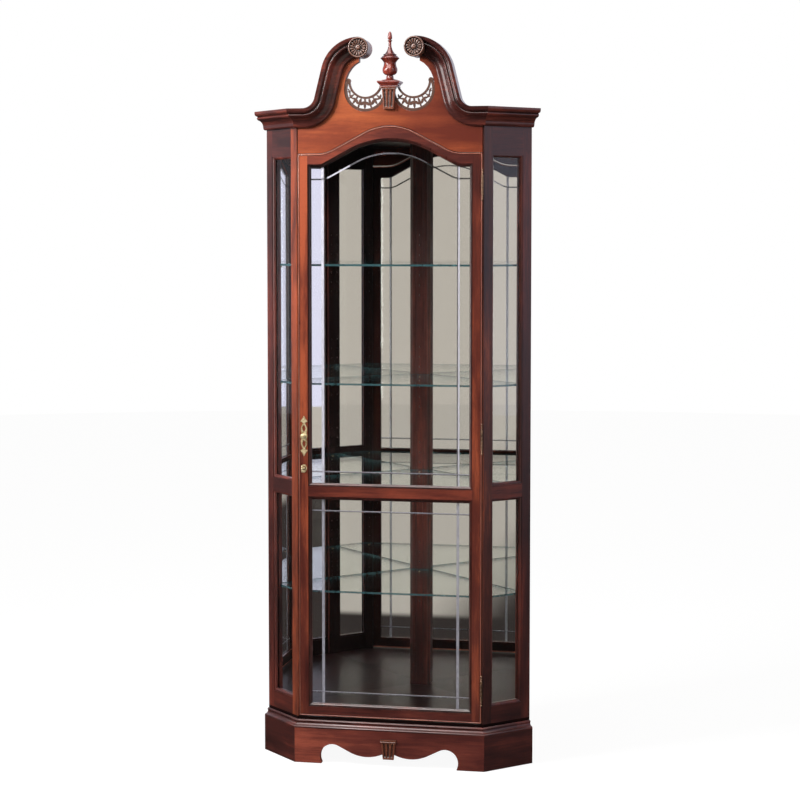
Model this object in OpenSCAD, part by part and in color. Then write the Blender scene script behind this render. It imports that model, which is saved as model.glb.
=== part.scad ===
// Corner china cabinet with an arched glass door, mirrored back and swan-neck pediment.
// Millimetres, +Z up, the door faces -Y. The origin is on the floor, midway between the
// foremost and the rearmost point. Inside each module y = 0 is the plane of the front face.

/* [Carcass] */
// Width of the front face between its two mitred corners
front_w = 566; // [520:1:640]
// Length of each angled side, from the front corner to the back wall
side_len = 174; // [160:1:220]
// Width of the flat across the back corner
back_flat = 50; // [44:1:60]
// Height of the floor board's top face
deck_top = 138; // [134:1:150]
// Thickness of the floor board
deck_t = 20; // [16:1:22]
// Thickness of the framing wood
frame_t = 20; // [18:1:22]
// Width of the front post on the angled side
post_w = 30; // [26:1:36]
// Width of the rear post on the angled side
rear_post_w = 32; // [28:1:40]
// Depth of the rear post into the cabinet
rear_post_d = 30; // [28:1:36]
// Height of the side frame's middle rail, lower edge
side_mid_z = 809; // [780:1:830]
// Width of the side frame's middle rail
side_mid_w = 41; // [34:1:50]
// Top edge of the side frame's bottom rail
side_bottom_top = 189; // [176:1:210]
// Lower edge of the side frieze rail
side_frieze_z = 1824; // [1800:1:1830]
// Thickness of the plywood back panels
panel_t = 6; // [4:0.5:8]
// Thickness of the mirrors
mirror_t = 4; // [3:0.5:5]
// Height of the ceiling board's underside
ceiling_z = 1890; // [1888:1:1896]
// Thickness of the ceiling board
ceiling_t = 18; // [12:1:20]

/* [Crown and pediment] */
// Height of the crown moulding's lower edge
crown_z = 1906.5; // [1904:0.5:1912]
// Height of the crown moulding
crown_h = 55; // [52:0.5:58]
// How far the crown moulding stands out
crown_out = 42.6; // [40:0.1:46]
// Distance of each rosette's centre from the middle
rosette_x = 83; // [81:0.5:86]
// Height of the centre of the swan neck's upper bend
neck_eye_z = 2052; // [2046:1:2060]
// Inner radius of the swan neck's upper bend
neck_top_r = 60; // [58:0.5:62]
// Inner radius of the swan neck's lower bend
neck_low_r = 93; // [90:0.5:96]
// Slope of the swan neck between its bends
neck_slope = 76; // [74:0.5:78]
// Radius of the carved rosettes
rosette_r = 30; // [28:0.5:31]
// How far a rosette stands in front of the swan neck
rosette_out = 12; // [8:0.5:14]
// Radius of each scoop in the pediment board
scoop_r = 64; // [62:0.5:65]
// Distance of each scoop's centre from the middle
scoop_x = 72; // [70:0.5:74]
// Height of each scoop's centre
scoop_z = 2016; // [2012:1:2020]
// Height of a scoop above its centre
scoop_rise = 86; // [80:1:90]
// Thickness of the pierced scrollwork
fret_t = 8; // [6:0.5:10]
// Height of the finial
finial_h = 145; // [130:1:150]
// Width of the moulded cap under the finial
cap_w = 68; // [62:1:72]
// Depth of the moulded cap under the finial
cap_d = 58; // [50:1:62]
// Height of the moulded cap under the finial
cap_h = 18; // [15:0.5:20]
// Width of the fluted keystone at its top
key_w = 44; // [40:1:48]
// Width of the pediment's keystone at its foot
key_foot_w = 30; // [26:1:34]
// How far the fluted keystone stands in front of the board
key_out = 12; // [8:0.5:16]

/* [Base] */
// How far the plinth stands out from the carcass
plinth_out = 15.2; // [12:0.1:18]
// Height of the plinth boards
plinth_h = 105; // [100:1:110]
// Thickness of the plinth boards
plinth_t = 18; // [16:1:20]
// Distance of the bracket arch's centre from the middle
arch_x = 172; // [166:1:178]
// Radius of the bracket arch
arch_r = 39; // [36:0.5:41]
// Height of the bracket arch's centre
arch_z = 21; // [18:1:24]
// Radius of the two hanging lobes of the apron
lobe_r = 117; // [112:1:120]
// Distance of each lobe's centre from the middle
lobe_x = 67; // [64:1:69]
// Lowest height of the lobes
lobe_z = 26; // [24:1:30]

/* [Door] */
// Width of the front post's face beside the door
post_face = 3.5; // [3:0.1:8]
// Gap around the door
door_gap = 2; // [1.6:0.1:2.5]
// Height of the door's lower edge
door_z = 141; // [140:0.5:143]
// Height of the door's shoulders
shoulder_z = 1828; // [1826:0.5:1830]
// Rise of the door's arch above its shoulders
arch_rise = 81; // [79:0.5:82]
// Half span of the door's arch
arch_half = 222; // [218:0.5:224]
// Radius of the crown of the door's arch
arch_crown_r = 160; // [150:1:165]
// Slope of the door's arch between its curves
arch_slope = 28; // [27.5:0.1:28.5]
// Width of the cock bead around the door
bead_w = 4.5; // [4:0.1:5.5]
// Width of the flat of the stiles
stile_w = 24; // [22:0.5:26]
// Height of the bottom rail's upper edge
bottom_rail_top = 169; // [166:1:174]
// Height of the middle rail's lower edge
mid_rail_z = 807; // [800:1:815]
// Width of the middle rail
mid_rail_w = 30; // [26:1:36]
// Shoulder height of the upper opening
open_shoulder_z = 1798; // [1796:0.5:1800]
// Rise of the upper opening's arch
open_rise = 75.5; // [75:0.5:77]
// Half span of the upper opening's arch
open_half = 215; // [213:0.5:217]
// Radius of the crown of the upper opening's arch
open_crown_r = 265; // [260:1:270]
// Radius of the curves that ease the upper opening's arch into its shoulders
open_ease_r = 27.8; // [20:0.1:34]
// Width of the moulding around the glass
sticking_w = 10; // [8:0.5:11]
// How far the cock bead stands proud
bead_out = 1.2; // [0.5:0.1:1.5]

/* [Glass] */
// Thickness of the door and side panes
pane_t = 4; // [3:0.5:5]
// Distance of the cut lines from the moulding
cut_inset = 34; // [28:1:40]
// Width of the cut lines
cut_w = 3.2; // [2:0.1:4]
// Depth of the cut lines
cut_d = 0.8; // [0.4:0.1:1.2]
// Thickness of the glass shelves
shelf_t = 6; // [5:0.5:8]
// Height of the lowest shelf's underside
shelf_1_z = 510; // [480:1:560]
// Height of the second shelf's underside
shelf_2_z = 832; // [800:1:860]
// Height of the third shelf's underside
shelf_3_z = 1139; // [1100:1:1180]
// Height of the highest shelf's underside
shelf_4_z = 1496; // [1440:1:1540]
// Distance of the shelves' front edge from the front face
shelf_front = 40; // [39:0.5:44]
// Gap between a shelf and the panes and mirrors
shelf_gap = 4; // [3:0.5:6]
// Gap between a shelf and the posts
notch_gap = 3; // [2:0.5:4]

/* [Shelf pins] */
// Radius of the shelf pins
pin_r = 2.5; // [2:0.1:3]
// Length of the shelf pins
pin_len = 19; // [17:0.5:21]
// Depth of the shelf pin holes
pin_hole_d = 10; // [9:0.5:11]
// Holes at each shelf position
pin_count = 7; // [1:2:9]
// Distance between shelf pin holes
pin_pitch = 32; // [25:1:32]

/* [Hinges] */
// Radius of the hinge barrel
barrel_r = 3.2; // [3:0.1:4]
// Radius of the hinge pin
hinge_pin_r = 1.5; // [1.3:0.1:1.8]
// Radius of the balls at the hinge's tips
hinge_ball_r = 2.8; // [2.2:0.1:3.2]
// Length of the hinge barrel
barrel_len = 56; // [50:1:64]
// Distance of the hinge axis in front of the door
hinge_out = 5.5; // [5:0.1:6]
// Thickness of the hinge leaves
leaf_t = 1.5; // [1.2:0.1:1.8]
// Depth of the hinge leaves into the door's edge
leaf_d = 16; // [14:0.5:17]
// Height of the lowest hinge's middle
hinge_1_z = 239; // [230:1:260]
// Height of the middle hinge
hinge_2_z = 989; // [940:1:1040]
// Height of the highest hinge's middle
hinge_3_z = 1735; // [1700:1:1750]

/* [Pull and lock] */
// Height of the pull's middle above the lock's core
pull_rise = 96.5; // [86:0.5:130]
// Height of the pull's back plate
pull_h = 122; // [110:1:126]
// Radius of the pull's knob
knob_r = 7.5; // [6.5:0.1:8.5]
// How far the knob stands out
knob_out = 22; // [18:0.5:26]
// Height of the lock's core
lock_z = 892; // [870:1:900]
// Radius of the lock's core
core_r = 6; // [5.5:0.1:6.4]
// Radius of the key's shank
shank_r = 1.9; // [1.6:0.1:2.1]
// Travel of the bolt
bolt_throw = 7; // [5:0.5:8]

/* [Fits] */
// Radial clearance of pins and the lock core
run_fit = 0.05; // [0.03:0.01:0.08]
// Clearance of loose pieces in their recesses
ease = 0.3; // [0.2:0.05:0.4]
// Joint line at the mitred corners
mitre_gap = 0.1; // [0.05:0.05:0.3]

/* [Hidden] */
$fn = 48;

root2 = sqrt(2);
corner = 22.5;                       // half of the turn from the front to an angled side
half_front = front_w / 2;
opening_half = half_front - post_face;
door_half = opening_half - door_gap;
rear_x = half_front + side_len / root2;
rear_y = side_len / root2;
wall_len = (rear_x - back_flat / 2) * root2;
back_y = rear_y + rear_x - back_flat / 2;
front_reach = crown_out + rosette_out;
front_y = -(back_y - front_reach) / 2;
carcass_top = crown_z + crown_h - 3;
deck_z = deck_top - deck_t;

wood_dark = [0.23, 0.07, 0.045];
wood_red = [0.36, 0.11, 0.06];
wood_gold = [0.60, 0.24, 0.10];
carved = [0.33, 0.19, 0.11];
brass = [0.80, 0.70, 0.45];
glass_tint = [0.75, 0.88, 0.84, 0.4];
mirror_tint = [0.80, 0.82, 0.82];

shelf_heights = [shelf_1_z, shelf_2_z, shelf_3_z, shelf_4_z];
hinge_heights = [hinge_1_z, hinge_2_z, hinge_3_z];

// ---------------------------------------------------------------- frames and outlines

// Moves a piece from the front face's plane to the row's origin
module cabinet() {
    translate([0, front_y, 0]) children();
}

// Left or right copy of a piece that is drawn on the right
module hand(side) {
    if (side == "left") mirror([1, 0, 0]) children();
    else children();
}

// x runs back along the right side, y runs into the cabinet
module on_side() {
    translate([half_front, 0, 0]) rotate(45) children();
}

// x runs along the right back wall to the back corner, y runs into the cabinet
module on_wall() {
    translate([rear_x, rear_y, 0]) rotate(135) children();
}

// Drawing plane x, z on the front face, with the extrusion standing forward from depth y
module facade(y) {
    translate([0, y, 0]) rotate([90, 0, 0]) children();
}

// Points of an arc from angle a0 to angle a1
function arc(cx, cy, r, a0, a1, n = 8) =
    [for (i = [0:n]) [cx + r * cos(a0 + (a1 - a0) * i / n), cy + r * sin(a0 + (a1 - a0) * i / n)]];

// Points of a quadratic curve with its handle at h
function curve(p, h, q, n = 6) =
    [for (i = [0:n]) let (t = i / n) p * (1 - t) ^ 2 + h * 2 * t * (1 - t) + q * t ^ 2];

function flip_x(pts) = [for (p = pts) [-p[0], p[1]]];
function backwards(pts) = [for (i = [len(pts) - 1:-1:0]) pts[i]];

// Plan of the cabinet inset by each wall's own distance
function plan(front, side, wall, back) = [
    [-(half_front + front - side * root2), front],
    [half_front + front - side * root2, front],
    [rear_x - (side + wall) / root2, rear_y + (side - wall) / root2],
    [rear_x + rear_y - wall * root2 - back, back],
    [-(rear_x + rear_y - wall * root2 - back), back],
    [-(rear_x - (side + wall) / root2), rear_y + (side - wall) / root2]
];

// Plan point at a distance along the right side and a depth behind its face
function side_point(along, depth) =
    [half_front + (along - depth) / root2, (along + depth) / root2];

function mitre(depth) = depth * tan(corner);

// Keeps what lies between the two front mitres
module front_mitres(lo, hi) {
    translate([0, 0, lo]) linear_extrude(hi - lo) polygon([
        [-half_front - mitre(60), -60], [half_front + mitre(60), -60],
        [half_front - mitre(60), 60], [-half_front + mitre(60), 60]
    ]);
}

// Keeps what lies behind the front mitre of an angled side
module side_mitre(lo, hi) {
    translate([0, 0, lo]) linear_extrude(hi - lo)
        polygon([
            [mitre_gap - mitre(60), -60], [side_len, -60], [side_len, 60], [mitre_gap + mitre(60), 60]
        ]);
}

// Runs a moulding along +x; its outline is [height, distance out]
module run(outline, from, length) {
    translate([from, 0, 0]) rotate([90, 0, 90]) linear_extrude(length)
        polygon([for (p = outline) [-p[1], p[0]]]);
}

// Right half of an arched top edge moved out by d: crown arc, straight slope, easing arc
function arch_ease_r(half, rise, crown_r, slope) =
    (half * sin(slope) - rise * cos(slope)) / (1 - cos(slope)) - crown_r;

// Slope of the straight that touches the crown arc and the easing arc
function slope_between(half, rise, crown_r, ease_r) =
    let (up = crown_r + ease_r - rise)
    asin((crown_r + ease_r) / norm([half, up])) - atan2(up, half);

open_slope = slope_between(open_half, open_rise, open_crown_r, open_ease_r);

function half_arch(half, rise, crown_r, slope, z, d, n = 9) =
    let (ease_r = arch_ease_r(half, rise, crown_r, slope))
    concat(
        arc(0, z + rise - crown_r, crown_r + d, 90, 90 - slope, n),
        arc(half, z + ease_r, ease_r - d, 270 - slope, 270, n)
    );

function whole_arch(half, rise, crown_r, slope, z, d) =
    let (right = half_arch(half, rise, crown_r, slope, z, d))
    concat(flip_x(backwards(right)), [for (i = [1:len(right) - 1]) right[i]]);

// Outlines of the door and of its two openings, moved inward by d
function door_loop(d) = concat(
    [[-door_half + d, door_z + d], [-door_half + d, shoulder_z - d]],
    whole_arch(arch_half, arch_rise, arch_crown_r, arch_slope, shoulder_z, -d),
    [[door_half - d, shoulder_z - d], [door_half - d, door_z + d]]
);

stile_edge = door_half - bead_w - stile_w;
mid_rail_top = mid_rail_z + mid_rail_w;

function upper_loop(d) = concat(
    [[-stile_edge + d, mid_rail_top + d], [-stile_edge + d, open_shoulder_z - d]],
    whole_arch(open_half, open_rise, open_crown_r, open_slope, open_shoulder_z, -d),
    [[stile_edge - d, open_shoulder_z - d], [stile_edge - d, mid_rail_top + d]]
);

function box_loop(half, lo, hi, d) =
    [[-half + d, lo + d], [-half + d, hi - d], [half - d, hi - d], [half - d, lo + d]];

function lower_loop(d) = box_loop(stile_edge, bottom_rail_top, mid_rail_z, d);

// Closed frame swept from loops that lie in x, z; ring k stands at depth ys[k]
module swept_frame(loops, ys) {
    n = len(loops[0]);
    m = len(loops);
    points = [for (k = [0:m - 1]) for (p = loops[k]) [p[0], ys[k], p[1]]];
    faces = [
        for (k = [0:m - 1]) for (i = [0:n - 1])
            let (j = (i + 1) % n, l = (k + 1) % m)
            for (f = [[k * n + i, k * n + j, l * n + j], [k * n + i, l * n + j, l * n + i]]) f
    ];
    polyhedron(points, faces, convexity = 6);
}

// ---------------------------------------------------------------- moulding outlines

// Crown moulding, [height, distance out]: bead, cove, astragal, ovolo and fascia
crown_outline = concat(
    [[0, 0], [0, 5]],
    [for (p = arc(5, 7, 7, -75, 0, 4)) [p[1], p[0]]],
    [for (p = arc(33, 9, 20.5, 180, 98, 7)) [p[1], p[0]]],
    [for (p = arc(30, 35, 4.2, -60, 60, 5)) [p[1], p[0]]],
    [[40.5, 33], [41, 35]],
    [for (p = arc(34.4, crown_h - 6, crown_out - 34.6, -75, -8, 5)) [p[1], p[0]]],
    [[crown_h - 5.5, crown_out], [crown_h, crown_out], [crown_h, 0]]
);

// Base moulding, [height, distance out]: fillet, ovolo, cove and bead
base_h = 24;
base_outline = concat(
    [[0, 0], [0, plinth_out], [3, plinth_out]],
    [for (p = arc(plinth_out - 4, 3, 4, 10, 80, 4)) [p[1], p[0]]],
    [[7.4, plinth_out - 4.6]],
    [for (p = arc(plinth_out - 3, 15.5, 8, 255, 185, 5)) [p[1], p[0]]],
    [for (p = arc(2.6, 20, 3, -60, 75, 5)) [p[1], p[0]]],
    [[base_h, 2.4], [base_h, 0]]
);

// Moulding around the door's glass, [distance in, depth]
sticking_outline = concat(
    [[0, 1.2], [2, 1.2], [2.4, 2]],
    arc(2.4, 7.6, 5.6, -80, -15, 5),
    [[sticking_w - 1.2, 7.4], [sticking_w, 8.6], [sticking_w, 11], [0, 11]]
);

// ---------------------------------------------------------------- base

// The opening of the scalloped apron, in x, z
module apron_opening() {
    lobe_cz = lobe_z + lobe_r;
    reach = norm([arch_x - lobe_x, lobe_cz - arch_z]);
    toward = atan2(lobe_cz - arch_z, lobe_x - arch_x);
    lean = toward - acos((arch_r + lobe_r) / reach);
    from = [arch_x + arch_r * cos(lean), arch_z + arch_r * sin(lean)];
    to = [lobe_x - lobe_r * cos(lean), lobe_cz - lobe_r * sin(lean)];
    foot = arch_x + arch_r - 4;
    difference() {
        union() {
            for (s = [-1, 1]) translate([s * arch_x, arch_z]) circle(arch_r, $fn = 72);
            polygon([
                [-foot, -1], [foot, -1], [foot - 1, arch_z - 8], [arch_x, arch_z], from, to,
                [0, to[1] + 20], [-to[0], to[1]], [-from[0], from[1]], [-arch_x, arch_z],
                [-foot + 1, arch_z - 8]
            ]);
        }
        for (s = [-1, 1]) translate([s * lobe_x, lobe_cz]) circle(lobe_r, $fn = 144);
    }
}

module plinth_front() {
    color(wood_red) cabinet() intersection() {
        difference() {
            translate([-rear_x, -plinth_out, 0]) cube([2 * rear_x, plinth_t, plinth_h]);
            facade(plinth_t) linear_extrude(plinth_t + 40) apron_opening();
        }
        front_mitres(0, plinth_h);
    }
}

module plinth_side(side) {
    color(wood_dark) cabinet() hand(side) on_side() intersection() {
        translate([-60, -plinth_out, 0]) cube([side_len + 60, plinth_t, plinth_h]);
        side_mitre(0, plinth_h);
    }
}

module plinth_left() { plinth_side("left"); }
module plinth_right() { plinth_side("right"); }

wall_start = plinth_t - plinth_out;                    // where a back board meets the side board
post_lap = 14;                                         // how far the back corner post laps each wall
post_proud = 7;                                        // how far it stands in front of the mirrors
wall_end = wall_len - post_lap;

module plinth_backs() {
    color(wood_dark) cabinet() for (side = ["left", "right"]) hand(side) on_wall()
        translate([wall_start, 0, 0]) cube([wall_end - wall_start, plinth_t, deck_z]);
}

// A block that narrows downward with three flutes and a band along its top
module fluted_block(top_w, bottom_w, h, t, band) {
    flute_r = top_w * 0.07;
    difference() {
        union() {
            linear_extrude(t)
                polygon([[-bottom_w / 2, 0], [bottom_w / 2, 0], [top_w / 2 - 1.5, h], [1.5 - top_w / 2, h]]);
            translate([-top_w / 2, h - band, 0]) cube([top_w, band, t + 2]);
        }
        for (k = [-1, 0, 1])
            translate([k * bottom_w * 0.28, h * 0.1, t])
                rotate([-90, 0, -atan(k * (top_w - bottom_w) * 0.28 / h)])
                cylinder(r = flute_r, h = h * 0.9 - band - 4, $fn = 24);
    }
}

apron_key_w = 48;
apron_key_foot_w = 33;
apron_key_h = 59;
apron_key_z = 23;
apron_key_t = 6;

module apron_keystone() {
    color(carved) cabinet() translate([0, -plinth_out, apron_key_z]) rotate([90, 0, 0])
        fluted_block(apron_key_w, apron_key_foot_w, apron_key_h, apron_key_t, 8);
}

module base_mouldings() {
    color(wood_dark) cabinet() translate([0, 0, plinth_h]) {
        intersection() {
            run(base_outline, -rear_x, 2 * rear_x);
            front_mitres(0, base_h);
        }
        for (side = ["left", "right"]) hand(side) on_side() intersection() {
            run(base_outline, -60, side_len + 60);
            side_mitre(0, base_h);
        }
    }
}

ledger_h = 40;
ledger_t = 20;

// Strips behind the plinth boards that carry the floor board
module base_ledgers() {
    face = wall_start;
    color(wood_gold) cabinet() translate([0, 0, deck_z - ledger_h]) {
        linear_extrude(ledger_h) polygon([
            [-half_front + mitre(face), face], [half_front - mitre(face), face],
            [half_front - mitre(face + ledger_t), face + ledger_t],
            [-half_front + mitre(face + ledger_t), face + ledger_t]
        ]);
        for (side = ["left", "right"]) hand(side) on_side()
            linear_extrude(ledger_h) polygon([
                [mitre_gap + mitre(face), face], [side_len - plinth_t, face],
                [side_len - plinth_t, face + ledger_t],
                [mitre_gap + mitre(face + ledger_t), face + ledger_t]
            ]);
    }
}

post_face_y = back_y - (back_flat / 2 + post_lap / root2 - back_flat / 2)
    - (panel_t + mirror_t + post_proud) / root2;       // front face of the back corner post

module base_deck() {
    right = [
        side_point(0, 0), side_point(side_len, 0), side_point(side_len, frame_t),
        side_point(side_len - panel_t, frame_t), plan(0, 0, panel_t, post_face_y)[3]
    ];
    color(wood_red) cabinet() translate([0, 0, deck_z]) linear_extrude(deck_t)
        polygon(concat(right, backwards(flip_x(right))));
}

// ---------------------------------------------------------------- posts and side frames

lip_front = frame_t + 1;                               // the rebate behind the door
lip_t = 14.5;                                          // thickness of the door stop
lip_in = 13.5;                                         // how far it reaches behind the door

// Plan of the right front post
function front_post_plan() = [
    [opening_half, 0], [half_front, 0],
    [half_front + post_w / root2, post_w / root2],
    [half_front + (post_w - frame_t) / root2, (post_w + frame_t) / root2],
    [opening_half - lip_in, (post_w + frame_t) / root2],
    [opening_half - lip_in, lip_front], [opening_half, lip_front]
];
lip_back = (post_w + frame_t) / root2;
pin_x = opening_half - 3;

// Heights of the shelf pin holes at one shelf
function pin_heights(shelf_z) =
    [for (i = [0:pin_count - 1]) shelf_z - pin_r + (i - (pin_count - 1) / 2) * pin_pitch];

module pin_holes() {
    for (z = shelf_heights) for (h = pin_heights(z))
        translate([0, 0, h]) rotate([-90, 0, 0])
            translate([0, 0, -pin_hole_d]) cylinder(r = pin_r + run_fit, h = pin_hole_d + 1, $fn = 20);
}

module pins() {
    for (z = shelf_heights)
        translate([0, 0, z - pin_r]) rotate([-90, 0, 0])
            translate([0, 0, -pin_hole_d + ease]) cylinder(r = pin_r, h = pin_len, $fn = 20);
}

rear_pin_s = side_len - rear_post_w + 11;

// Where the pins stand: origin on the wood's face, y out of the wood
module at_pins() {
    for (side = ["left", "right"]) hand(side) {
        translate([pin_x, lip_back, 0]) children();
        on_side() translate([rear_pin_s, rear_post_d, 0]) children();
    }
    translate([0, post_face_y, 0]) mirror([0, 1, 0]) children();
}

module front_post(side) {
    color(wood_dark) cabinet() difference() {
        hand(side) translate([0, 0, deck_top]) linear_extrude(carcass_top - deck_top)
            polygon(front_post_plan());
        at_pins() pin_holes();
        if (side == "right") {
            hinge_mortises(opening_half, 1);
            hinge_pilots(opening_half + leaf_t, 1);
        }
        if (side == "left") bolt_mortise();
    }
}

module front_post_left() { front_post("left"); }
module front_post_right() { front_post("right"); }

module rear_post(side) {
    rebate = panel_t + mirror_t;
    color(wood_dark) cabinet() difference() {
        hand(side) on_side() translate([0, 0, deck_top]) linear_extrude(carcass_top - deck_top)
            polygon([
                [side_len - rear_post_w, 0], [side_len, 0], [side_len, frame_t],
                [side_len - rebate, frame_t], [side_len - rebate, rear_post_d],
                [side_len - rear_post_w, rear_post_d]
            ]);
        at_pins() pin_holes();
    }
}

module rear_post_left() { rear_post("left"); }
module rear_post_right() { rear_post("right"); }

module back_corner_post() {
    lap = post_lap / root2;
    deep = (panel_t + mirror_t + post_proud) / root2;
    reeds = [-12, 0, 12];
    color(wood_dark) cabinet() difference() {
        linear_extrude(carcass_top) polygon([
            [-back_flat / 2, back_y], [back_flat / 2, back_y],
            [back_flat / 2 + lap, back_y - lap], [back_flat / 2 + lap - deep, back_y - lap - deep],
            [-back_flat / 2 - lap + deep, back_y - lap - deep], [-back_flat / 2 - lap, back_y - lap]
        ]);
        at_pins() pin_holes();
        for (x = reeds) if (x != 0)
            translate([x, post_face_y, deck_top + 40])
                cylinder(r = 2.4, h = ceiling_z - deck_top - 80, $fn = 24);
    }
}

// Bottom rail, middle rail and the tall frieze rail of an angled side
module side_rails(side) {
    length = side_len - rear_post_w - post_w;
    rails = [
        [deck_top, side_bottom_top], [side_mid_z, side_mid_z + side_mid_w],
        [side_frieze_z, carcass_top]
    ];
    color(wood_dark) cabinet() hand(side) on_side() for (z = rails)
        translate([post_w, 0, z[0]]) cube([length, frame_t, z[1] - z[0]]);
}

module side_rails_left() { side_rails("left"); }
module side_rails_right() { side_rails("right"); }

side_panes = [[side_bottom_top, side_mid_z], [side_mid_z + side_mid_w, side_frieze_z]];
side_mid_s = (post_w + side_len - rear_post_w) / 2;
side_half = (side_len - rear_post_w - post_w) / 2;
bead_depth = 9;

module side_glass(side) {
    color(glass_tint) cabinet() hand(side) on_side() for (z = side_panes)
        translate([side_mid_s - side_half + ease, bead_depth, z[0] + ease])
            cube([2 * side_half - 2 * ease, pane_t, z[1] - z[0] - 2 * ease]);
}

module side_glass_left() { side_glass("left"); }
module side_glass_right() { side_glass("right"); }

// Moulded beads outside and square stops inside, around both panes of a side
module side_beads(side) {
    outer = [[0, 1.5], [2.5, 1.5], [5, 2.8], [7, 5], [8, 7.5], [8, bead_depth], [0, bead_depth]];
    stop_y = bead_depth + pane_t;
    inner = [[0, stop_y], [7, stop_y], [7, frame_t - 1], [0, frame_t - 1]];
    color(wood_dark) cabinet() hand(side) on_side() translate([side_mid_s, 0, 0])
        for (z = side_panes) for (shape = [outer, inner])
            swept_frame([for (p = shape) box_loop(side_half, z[0], z[1], p[0])], [for (p = shape) p[1]]);
}

module side_beads_left() { side_beads("left"); }
module side_beads_right() { side_beads("right"); }

module back_panel(side) {
    color(wood_dark) cabinet() hand(side) on_wall() translate([frame_t, 0, deck_z])
        cube([wall_end - frame_t, panel_t, carcass_top - deck_z - 10]);
}

module back_panel_left() { back_panel("left"); }
module back_panel_right() { back_panel("right"); }

module mirror_pane(side) {
    color(mirror_tint) cabinet() hand(side) on_wall() translate([frame_t + ease, panel_t, deck_top])
        cube([wall_end - frame_t - 2 * ease, mirror_t, ceiling_z - deck_top]);
}

module mirror_left() { mirror_pane("left"); }
module mirror_right() { mirror_pane("right"); }

// The ceiling fits between the frames and is notched around the posts
module ceiling_board() {
    color(wood_dark) cabinet() translate([0, 0, ceiling_z]) linear_extrude(ceiling_t)
        difference() {
            polygon(plan(lip_front, frame_t, panel_t, post_face_y));
            for (side = ["left", "right"]) hand(side) {
                translate([opening_half - lip_in - ease, 0]) square([60, lip_back + ease]);
                on_side() translate([side_len - rear_post_w - ease, 0])
                    square([rear_post_w + 5, rear_post_d + ease]);
            }
        }
}

// ---------------------------------------------------------------- crown and pediment

module crown(side) {
    color(wood_dark) cabinet() hand(side) on_side() translate([0, 0, crown_z]) intersection() {
        run(crown_outline, -60, side_len + 60);
        side_mitre(0, crown_h);
    }
}

module crown_left() { crown("left"); }
module crown_right() { crown("right"); }

// The swan neck's line: run, lower bend, straight slope and upper bend into the rosette
neck_turn = neck_slope;
slope_top = [rosette_x + neck_top_r * sin(neck_turn), neck_eye_z + neck_top_r * cos(neck_turn)];
slope_low_z = crown_z + neck_low_r * (1 - cos(neck_turn));
slope_len = (slope_top[1] - slope_low_z) / sin(neck_turn);
bend_x = slope_top[0] + slope_len * cos(neck_turn) + neck_low_r * sin(neck_turn);
bend_z = crown_z + neck_low_r;
rosette_z = neck_eye_z + neck_top_r + crown_h / 2 - 4;

neck_steps = 14;

// Where height v of the outline lies, in x and z, in each section along the swan neck
function neck_sections(v) = concat(
    [[half_front + 60, crown_z + v]],
    arc(bend_x, bend_z, neck_low_r - v, 270, 270 - neck_turn, neck_steps),
    arc(rosette_x, neck_eye_z, neck_top_r + v, 90 - neck_turn, 90, neck_steps)
);

// Bar through equal rings of points, closed at both ends
module lofted_bar(rings) {
    n = len(rings[0]);
    m = len(rings);
    points = [for (ring = rings) for (p = ring) p];
    walls = [
        for (k = [0:m - 2]) for (i = [0:n - 1])
            let (j = (i + 1) % n)
            for (f = [[k * n + i, (k + 1) * n + j, k * n + j], [k * n + i, (k + 1) * n + i, (k + 1) * n + j]]) f
    ];
    ends = [[for (i = [0:n - 1]) i], [for (i = [n - 1:-1:0]) (m - 1) * n + i]];
    polyhedron(points, concat(walls, ends), convexity = 8);
}

module swan_neck(side) {
    lines = [for (p = crown_outline) neck_sections(p[0])];
    rings = [for (k = [0:2 * neck_steps + 2])
        [for (i = [0:len(lines) - 1]) [lines[i][k][0], -crown_outline[i][1], lines[i][k][1]]]];
    color(wood_dark) cabinet() hand(side) difference() {
        intersection() {
            lofted_bar(rings);
            front_mitres(crown_z - 1, neck_eye_z + neck_top_r + crown_h + 1);
        }
        facade(1) linear_extrude(front_reach + 2)
            polygon([for (a = [5:10:355]) [rosette_x + rosette_r * cos(a), rosette_z + rosette_r * sin(a)]]);
    }
}

module swan_neck_left() { swan_neck("left"); }
module swan_neck_right() { swan_neck("right"); }

board_inset = 3;                                       // the board stops short of the neck's edge
board_h = 200;                                         // more than reaches above the scoops
tongue_half = scoop_x - scoop_r;
scoop_end_x = rosette_x + 8;                           // where a scoop runs in behind its rosette

// Right scoop of the pediment board
function scoop_outline() = concat(
    arc(scoop_x, scoop_z, scoop_r, 180, 360, 20),
    [for (i = [1:15]) [scoop_x + scoop_r * cos(i * 12), scoop_z + scoop_rise * sin(i * 12)]]
);

module board_outline() {
    h = crown_h - board_inset;
    right = concat(
        [[door_half, shoulder_z + door_gap], [door_half, crown_z + h]],
        arc(bend_x, bend_z, neck_low_r - h, 270, 270 - neck_turn, 8),
        arc(rosette_x, neck_eye_z, neck_top_r + h, 90 - neck_turn, 90, 14)
    );
    difference() {
        polygon(concat(flip_x(backwards(right)), right));
        for (s = [-1, 1]) scale([s, 1]) polygon(scoop_outline());
        for (s = [-1, 1]) translate([s * (scoop_x + tongue_half) / 2, scoop_z + board_h / 2])
            square([scoop_x - tongue_half, board_h], center = true);
        translate([-scoop_end_x, key_top_z]) square([2 * scoop_end_x, board_h]);
        polygon(concat(
            [[-door_half - 1, shoulder_z - 50], [-door_half - 1, shoulder_z + door_gap]],
            whole_arch(arch_half, arch_rise, arch_crown_r, arch_slope, shoulder_z, door_gap),
            [[door_half + 1, shoulder_z + door_gap], [door_half + 1, shoulder_z - 50]]
        ));
    }
    for (s = [-1, 1]) translate([s * rosette_x, rosette_z]) circle(rosette_r - 2, $fn = 60);
}

module pediment_board() {
    color(wood_gold) cabinet() facade(lip_front) linear_extrude(lip_front) board_outline();
}

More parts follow.
